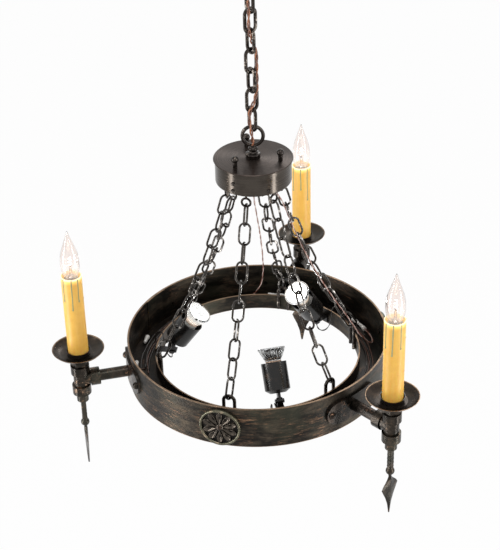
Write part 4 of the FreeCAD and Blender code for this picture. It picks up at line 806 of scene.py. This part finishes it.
def mirror_material(name, glow):
    paint = Paint(name, Metallic=1.0, Emission_Color=(1.0, 0.97, 0.92, 1.0))
    shade = paint.noise(150.0, 3.0, 0.6)
    paint.set(Base_Color=paint.mix(paint.step(shade, 0.35, 0.65), (0.55, 0.56, 0.56), (0.86, 0.86, 0.84)),
              Roughness=paint.step(shade, 0.3, 0.7, 0.12, 0.3), Normal=paint.bump(shade, 0.0006, 0.7),
              Emission_Strength=paint.step(shade, 0.2, 0.8, glow * 0.9, glow * 1.1))
    return paint.material


mirror_dark = mirror_material("reflector_unlit", 0.0)
mirror_lit = mirror_material("reflector_lit", 0.45)
heart_lit = mirror_material("reflector_heart_lit", 3.0)


def spot_place(azimuth):
    turn = Matrix.Rotation(math.radians(azimuth), 4, "Z") @ Matrix.Rotation(math.radians(-REST_TILT), 4, "Y")
    return Matrix.Translation(polar(PIVOT_R, azimuth, PIVOT_Z)) @ turn


def add_block(bm, place, size, centre, material, bevel):
    """Small box with eased edges."""
    made = bmesh.ops.create_cube(bm, size=1.0)
    verts = made["verts"]
    box = place @ Matrix.Translation(centre) @ Matrix.Diagonal((*size, 1.0))
    bmesh.ops.transform(bm, matrix=box, verts=verts)
    edges = list({edge for vert in verts for edge in vert.link_edges})
    eased = bmesh.ops.bevel(bm, geom=edges, offset=bevel, segments=2, profile=0.6, affect="EDGES")
    faces = {face for vert in eased["verts"] for face in vert.link_faces}
    faces |= {face for vert in verts if vert.is_valid for face in vert.link_faces}
    for face in faces:
        face.material_index = material


def make_spot_lamp(spot, azimuth):
    place = spot_place(azimuth)
    lit = spot in LIT_SPOTS
    bm = bmesh.new()
    ribs = 22

    def scalloped(r, z, angle):
        depth = 0.0009 * min(1.0, max(0.0, (z - 0.0732) / 0.01)) * min(1.0, max(0.0, (0.0952 - z) / 0.003))
        return r - depth * abs(math.sin(ribs * angle / 2))

    flare = [(0.0145, 0.0732), (0.015, 0.0745), (0.0172, 0.0785), (0.0197, 0.0835), (0.0219, 0.0885),
             (0.0238, 0.093), (0.0248, 0.095), (0.025, 0.096), (0.0249, 0.0971), (0.0235, 0.0972)]
    add_lathe(bm, flare, ribs * 8, 0, place, scalloped)
    heart = [(0.001, 0.076), (0.008, 0.0762), (0.0128, 0.0775)]
    add_lathe(bm, heart, ribs * 8, 7, place, scalloped)
    bowl = [(0.0128, 0.0775), (0.0158, 0.0805), (0.0186, 0.085), (0.0208, 0.0895), (0.0228, 0.0938),
            (0.0236, 0.0951)]
    add_lathe(bm, bowl, ribs * 8, 1, place, scalloped)
    lens = [(0.0, 0.0957), (0.01, 0.0958), (0.02, 0.096), (0.0238, 0.096), (0.0238, 0.0951),
            (0.02, 0.095), (0.0, 0.095)]
    add_lathe(bm, lens, 64, 2, place)
    neck = [(0.0, 0.044), (0.011, 0.044), (0.011, 0.056), (0.0143, 0.066), (0.0143, 0.0706)]
    add_lathe(bm, rounded(neck, 0.0008), 48, 3, place)
    collar = [(0.012, 0.0706), (0.0145, 0.0706), (0.0145, 0.0732), (0.012, 0.0732)]
    add_lathe(bm, rounded(collar, 0.0005), 48, 4, place)
    for side in (-1, 1):
        add_block(bm, place, (0.005, 0.0016, 0.003), Vector((0, side * 0.0242, 0.0957)), 5, 0.0003)
    core = [(0.0, 0.0765), (0.0028, 0.0765), (0.003, 0.086), (0.002, 0.0885), (0.0, 0.089)]
    add_lathe(bm, rounded(core, 0.0006), 20, 6, place)
    add_object("spot_lamp_" + spot, bm,
               (lamp_glass, mirror_lit if lit else mirror_dark, lamp_glass, ceramic_paint, beige_paint,
                black_paint, core_glow if lit else stem_glass, heart_lit if lit else mirror_dark),
               "spot_" + spot + "_head", ("spot_" + spot + "_lamp",))


for spot, azimuth in SPOT_AZIMUTHS.items():
    make_spot_lamp(spot, azimuth)


# Rosettes: cast petals in a rim, wrapped on the outer band

ROSETTE_Z = RIM_Z - 0.042
ROSETTE_R = 0.038
PETALS = 10
PETAL_FOOT, PETAL_END, PETAL_HALF_W = 0.0066, 0.032, 0.0061
RIM_INNER_R = 0.0325
BOSS_R = 0.0072
PETAL_H, PETAL_HOLLOW, RIM_H, BOSS_H = 0.0036, 0.003, 0.0045, 0.0056
FIELD_H = 0.0022
PAINT_FROM = 0.0004


def petal_height(along, across):
    """Spoon-shaped petal: raised edges round a hollow that is deepest near its outer end."""
    if not PETAL_FOOT < along < PETAL_END:
        return 0.0
    t = (along - PETAL_FOOT) / (PETAL_END - PETAL_FOOT)
    half = PETAL_HALF_W * math.sin(math.pi * t ** 1.6) ** 0.6
    side = abs(across) / max(half, 1e-6)
    if side >= 1:
        return 0.0
    edge = min(1.0, (1 - side) / 0.25)
    hollow = max(0.0, 1 - (side / 0.75) ** 2) * math.sin(math.pi * t ** 1.2)
    return PETAL_H * edge * (2 - edge) * (0.7 + 0.3 * t) - PETAL_HOLLOW * hollow


def rosette_forms(reach, angle):
    """Heights of the rim, the petal and the boss above the casting's field, at a distance and an angle."""
    rim = 0.0
    if reach > RIM_INNER_R:
        rim = RIM_H * math.sqrt(max(0.0, 1 - ((reach - 0.0353) / 0.003) ** 2))
    share = angle * PETALS / (math.tau)
    off = (share - round(share)) * math.tau / PETALS
    petal = petal_height(reach * math.cos(off), reach * math.sin(off))
    boss = 0.0
    if reach < BOSS_R:
        boss = BOSS_H * math.sqrt(max(0.0, 1 - (reach / (BOSS_R + 0.0002)) ** 2))
    return rim, petal, boss


def rosette_zone(reach, angle):
    """Which of the casting's paints a place has: the field, painted near-black as shade; petals and boss; or the
    rim, painted lighter as a highlight.
    """
    rim, petal, boss = rosette_forms(reach, angle)
    if rim > PAINT_FROM:
        return 2
    return 1 if max(petal, boss) > PAINT_FROM else 0


def make_rosettes():
    rows, sides = 72, 280
    rings = [0.0] + [ROSETTE_R * (k + 1) / rows for k in range(rows)]
    for arm, azimuth in ARMS.items():
        middle = azimuth + 180
        bm = bmesh.new()
        grid = []
        for reach in [*rings, ROSETTE_R]:
            on_foot = len(grid) == len(rings)
            ring = []
            for k in range(sides if reach else 1):
                angle = math.tau * k / sides
                lift = FIELD_H + max(rosette_forms(reach, angle))
                if reach >= ROSETTE_R - 1e-6:
                    lift = 0.0001 if on_foot else 0.0016
                around = middle + math.degrees(reach * math.sin(angle) / HOOP_R)
                ring.append(bm.verts.new(polar(HOOP_R + lift, around, ROSETTE_Z + reach * math.cos(angle))))
            grid.append(ring)
        for row, (low, high) in enumerate(zip(grid, grid[1:])):
            for k in range(sides):
                j = (k + 1) % sides
                corners = (low[0], high[j], high[k]) if len(low) == 1 else (low[k], high[k], high[j], low[j])
                face = bm.faces.new(corners)
                face.smooth = True
                reach = ROSETTE_R * (row + 0.5) / rows
                face.material_index = rosette_zone(reach, math.tau * (k + 0.5) / sides)
        add_object("rosette_" + arm, bm, (rosette_field_painted_shade, rosette_petal, rosette_rim_painted_highlight),
                   "chandelier", ("rosettes",))


make_rosettes()


# Finials: each a forged rod, ball and spearhead in one piece

ROD_TOP, ROD_H, ROD_HALF = -0.85574, 0.041, 0.0048
BALL_R, NECK_R, NECK_H = 0.0083, 0.0032, 0.006
SPEAR_LENGTH, SPEAR_HALF_W, SPEAR_HALF_T = 0.083, 0.022, 0.0036
SPEAR_SHARES = ((0.0, 0.14, 0.95), (0.07, 0.36, 1.0), (0.19, 0.8, 0.95), (0.275, 1.0, 0.9), (0.36, 0.84, 0.86),
                (0.53, 0.52, 0.8), (0.74, 0.25, 0.66), (1.0, 0.08, 0.4))
HAMMER_DEPTH = 0.035


def finial_levels():
    """Height, half thickness, half width and squareness of each section, from the bushing to the point."""
    levels = []
    for k in range(15):
        half = ROD_HALF * (1 + 0.03 * math.sin(1.9 * k) + 0.02 * math.sin(4.1 * k))
        levels.append((ROD_TOP - 0.0001 - ROD_H * k / 15, half, half, 7.0))
    ball_z = ROD_TOP - ROD_H - BALL_R
    for k in range(13):
        angle = math.radians(40 + 117 * k / 12)
        r = BALL_R * math.sin(angle)
        levels.append((ball_z + BALL_R * math.cos(angle), r, r, 2.0))
    spear_top = ball_z - BALL_R * 0.9 - NECK_H
    levels.append((spear_top + NECK_H / 2, NECK_R, NECK_R, 2.0))
    for (down, wide, thick), (down_to, wide_to, thick_to) in zip(SPEAR_SHARES, SPEAR_SHARES[1:]):
        for k in range(5):
            t = k / 5
            levels.append((spear_top - SPEAR_LENGTH * (down + (down_to - down) * t),
                           SPEAR_HALF_T * (thick + (thick_to - thick) * t),
                           SPEAR_HALF_W * (wide + (wide_to - wide) * t), 1.2))
    down, wide, thick = SPEAR_SHARES[-1]
    levels.append((spear_top - SPEAR_LENGTH * down, SPEAR_HALF_T * thick, SPEAR_HALF_W * wide, 1.2))
    return levels


def make_finials():
    sides = 40
    for arm, azimuth in ARMS.items():
        place = tee_place(azimuth)
        bm = bmesh.new()
        rings = []
        for row, (z, half_t, half_w, power) in enumerate(finial_levels()):
            ring = []
            for k in range(sides):
                angle = math.tau * (k + 0.5) / sides
                ripple = math.sin(1.3 * row + 3 * angle + azimuth) * math.cos(0.8 * row - angle)
                dent = 1 - HAMMER_DEPTH * (0.5 + 0.5 * ripple)
                x = math.copysign(abs(math.cos(angle)) ** (2 / power), math.cos(angle)) * half_t * dent
                y = math.copysign(abs(math.sin(angle)) ** (2 / power), math.sin(angle)) * half_w * dent
                ring.append(bm.verts.new(place @ Vector((x, y, z))))
            rings.append(ring)
        for high, low in zip(rings, rings[1:]):
            for k in range(sides):
                j = (k + 1) % sides
                bm.faces.new((high[k], low[k], low[j], high[j])).smooth = True
        bm.faces.new(rings[0])
        bm.faces.new(rings[-1][::-1])
        for edge in bm.edges:
            if len(edge.link_faces) == 2 and edge.calc_face_angle() > math.radians(38):
                edge.smooth = False
        add_object("finial_" + arm, bm, iron_paint, "chandelier",
                   ("finials",))


make_finials()


# Loops at the hub and at the canopy

LOOP_R, LOOP_HEIGHT, LOOP_WIRE_R = 0.01825, 0.0415, 0.00325
LOOP_STEPS, LOOP_SIDES = 96, 20


def make_cast_loop(foot, turn, upside_down):
    """Skirted collar, beaded stem and ring."""
    flip = Matrix.Rotation(math.pi, 4, "X") if upside_down else Matrix.Identity(4)
    place = Matrix.Translation((0, 0, foot)) @ Matrix.Rotation(math.radians(turn), 4, "Z") @ flip
    bm = bmesh.new()
    profile = [(0.0, 0.0002), (0.0118, 0.0002), (0.013, 0.0014), (0.0132, 0.0046), (0.0135, 0.0058),
               (0.0134, 0.0076), (0.0122, 0.0088), (0.0092, 0.0098), (0.007, 0.0114), (0.0066, 0.013),
               (0.0082, 0.0148), (0.0088, 0.0168), (0.0082, 0.019), (0.0066, 0.0204), (0.006, 0.0222),
               (0.0056, 0.0245), (0.0, 0.0262)]
    smooth = [(max(p.x, 0.0), p.y) for p in smooth_profile(profile, 3)]
    add_lathe(bm, smooth[:-1] + [profile[-1]], 56, 0, place)
    ring = []
    for k in range(LOOP_STEPS):
        angle = math.tau * k / LOOP_STEPS
        ring.append(place @ Vector((LOOP_R * math.sin(angle), 0, LOOP_HEIGHT - LOOP_R * math.cos(angle))))
    loops = []
    normal = place.to_3x3() @ Vector((0, 1, 0))
    for k, point in enumerate(ring):
        outward = (point - place @ Vector((0, 0, LOOP_HEIGHT))).normalized()
        wire = LOOP_WIRE_R * (1 + 0.03 * math.sin(5 * k * math.tau / LOOP_STEPS))
        turns = [math.tau * i / LOOP_SIDES for i in range(LOOP_SIDES)]
        loops.append([bm.verts.new(point + (outward * math.cos(a) + normal * math.sin(a)) * wire) for a in turns])
    for a, b in zip(loops, loops[1:] + loops[:1]):
        for i in range(LOOP_SIDES):
            j = (i + 1) % LOOP_SIDES
            bm.faces.new((a[i], a[j], b[j], b[i])).smooth = True
    return bm


def make_loops():
    for name, foot, turn, over, body in (("hub_loop", -0.3941, 0, False, "chandelier"),
                                         ("canopy_loop", -0.028, 212, True, "ceiling_mount")):
        bm = make_cast_loop(foot, turn, over)
        add_object(name + "_casting", bm, loop_paint, body, (name,))


make_loops()


# Channel wires: loose strands on the channel's floor

def make_channel_wires():
    bm = bmesh.new()
    strands = ((0.207, -42, 186, 0.6), (0.2108, -38, 189, 1.9), (0.215, -40, 184, 3.1), (0.2196, -36, 150, 4.4),
               (0.2236, 20, 187, 5.2))
    for index, (radius, start, stop, phase) in enumerate(strands):
        points = []
        count = 34
        for k in range(count + 1):
            azimuth = start + (stop - start) * k / count
            sway = 0.0011 * math.sin(0.11 * azimuth + phase) + 0.0006 * math.sin(0.31 * azimuth + 2 * phase)
            lift = 0.0006 + 0.0006 * math.sin(0.17 * azimuth + phase)
            points.append(polar(radius + sway, azimuth, CHANNEL_FLOOR_Z + 0.0013 + lift))
        add_tube(bm, spaced(route(points), 0.004), 0.00125, 10, index % 2)
    add_object("channel_wire_strands", bm, (wire_black, wire_brown), "chandelier",
               ("channel_wires",))


make_channel_wires()


# Stage and light

FLOOR_Z = -2.4
FLOOR_REACH = 14.0
FLOOR_WHITE = 0.97
WORLD_LIGHT = 0.42
LIGHT_AIM_Z = -0.62
LAMP_FACE = 0.099


def make_stage():
    data = bpy.data.meshes.new("floor")
    corners = [(x * FLOOR_REACH, y * FLOOR_REACH, FLOOR_Z) for x, y in ((-1, -1), (1, -1), (1, 1), (-1, 1))]
    data.from_pydata(corners, [], [(0, 1, 2, 3)])
    floor = bpy.data.objects.new("floor", data)
    bpy.context.collection.objects.link(floor)
    paint = Paint("floor_white", Roughness=0.9)
    paint.set(Base_Color=(0.86, 0.86, 0.86, 1.0))
    share = paint.math("MULTIPLY", paint.seen_rays(), FLOOR_WHITE)
    white = paint.add("Emission", {"Color": (1, 1, 1, 1), "Strength": 1.0})
    blend = paint.add("MixShader", {0: share, 1: paint.surface.outputs[0], 2: white.outputs[0]})
    paint.put(paint.output.inputs["Surface"], blend.outputs[0])
    data.materials.append(paint.material)


def make_world():
    world = bpy.data.worlds.new("studio")
    bpy.context.scene.world = world
    world.use_nodes = True
    world.node_tree.nodes.clear()
    nodes = Nodes(world.node_tree)
    strength = nodes.add("MapRange", {"Value": nodes.seen_rays(), "To Min": WORLD_LIGHT, "To Max": 1.0})
    sky = nodes.add("Background", {"Color": (1, 1, 1, 1), "Strength": strength.outputs["Result"]})
    nodes.add("OutputWorld", {0: sky.outputs[0]})


def area_light(name, shape, size, power):
    light = bpy.data.lights.new(name, "AREA")
    light.shape = shape
    light.size = size
    light.energy = power
    holder = bpy.data.objects.new(name, light)
    bpy.context.collection.objects.link(holder)
    return holder


def make_light(name, azimuth, reach, z, width, height, power):
    holder = area_light(name, "RECTANGLE", width, power)
    holder.data.size_y = height
    holder.location = polar(reach, azimuth, z)
    aim = Vector((0, 0, LIGHT_AIM_Z)) - holder.location
    holder.rotation_euler = aim.to_track_quat("-Z", "Y").to_euler()


def make_lamp_light(spot, azimuth):
    """Light of a lit spotlight on the links and the band in front of it."""
    holder = area_light("lit_spot_" + spot, "DISK", 0.04, 0.12)
    holder.visible_camera = False
    face = Matrix.Translation((0, 0, LAMP_FACE)) @ Matrix.Rotation(math.pi, 4, "X")
    holder.matrix_world = spot_place(azimuth) @ face


make_stage()
make_world()
make_light("key_left", -160, 2.2, -0.75, 0.4, 3.0, 46)
make_light("key_right", -28, 2.2, -0.75, 0.35, 3.0, 38)
make_light("top_soft", -95, 0.9, 1.7, 1.2, 1.2, 16)
make_light("back_rim", 70, 2.2, 0.95, 0.8, 0.8, 12)
for spot in LIT_SPOTS:
    make_lamp_light(spot, SPOT_AZIMUTHS[spot])

scene = bpy.context.scene
scene.view_settings.view_transform = "Standard"
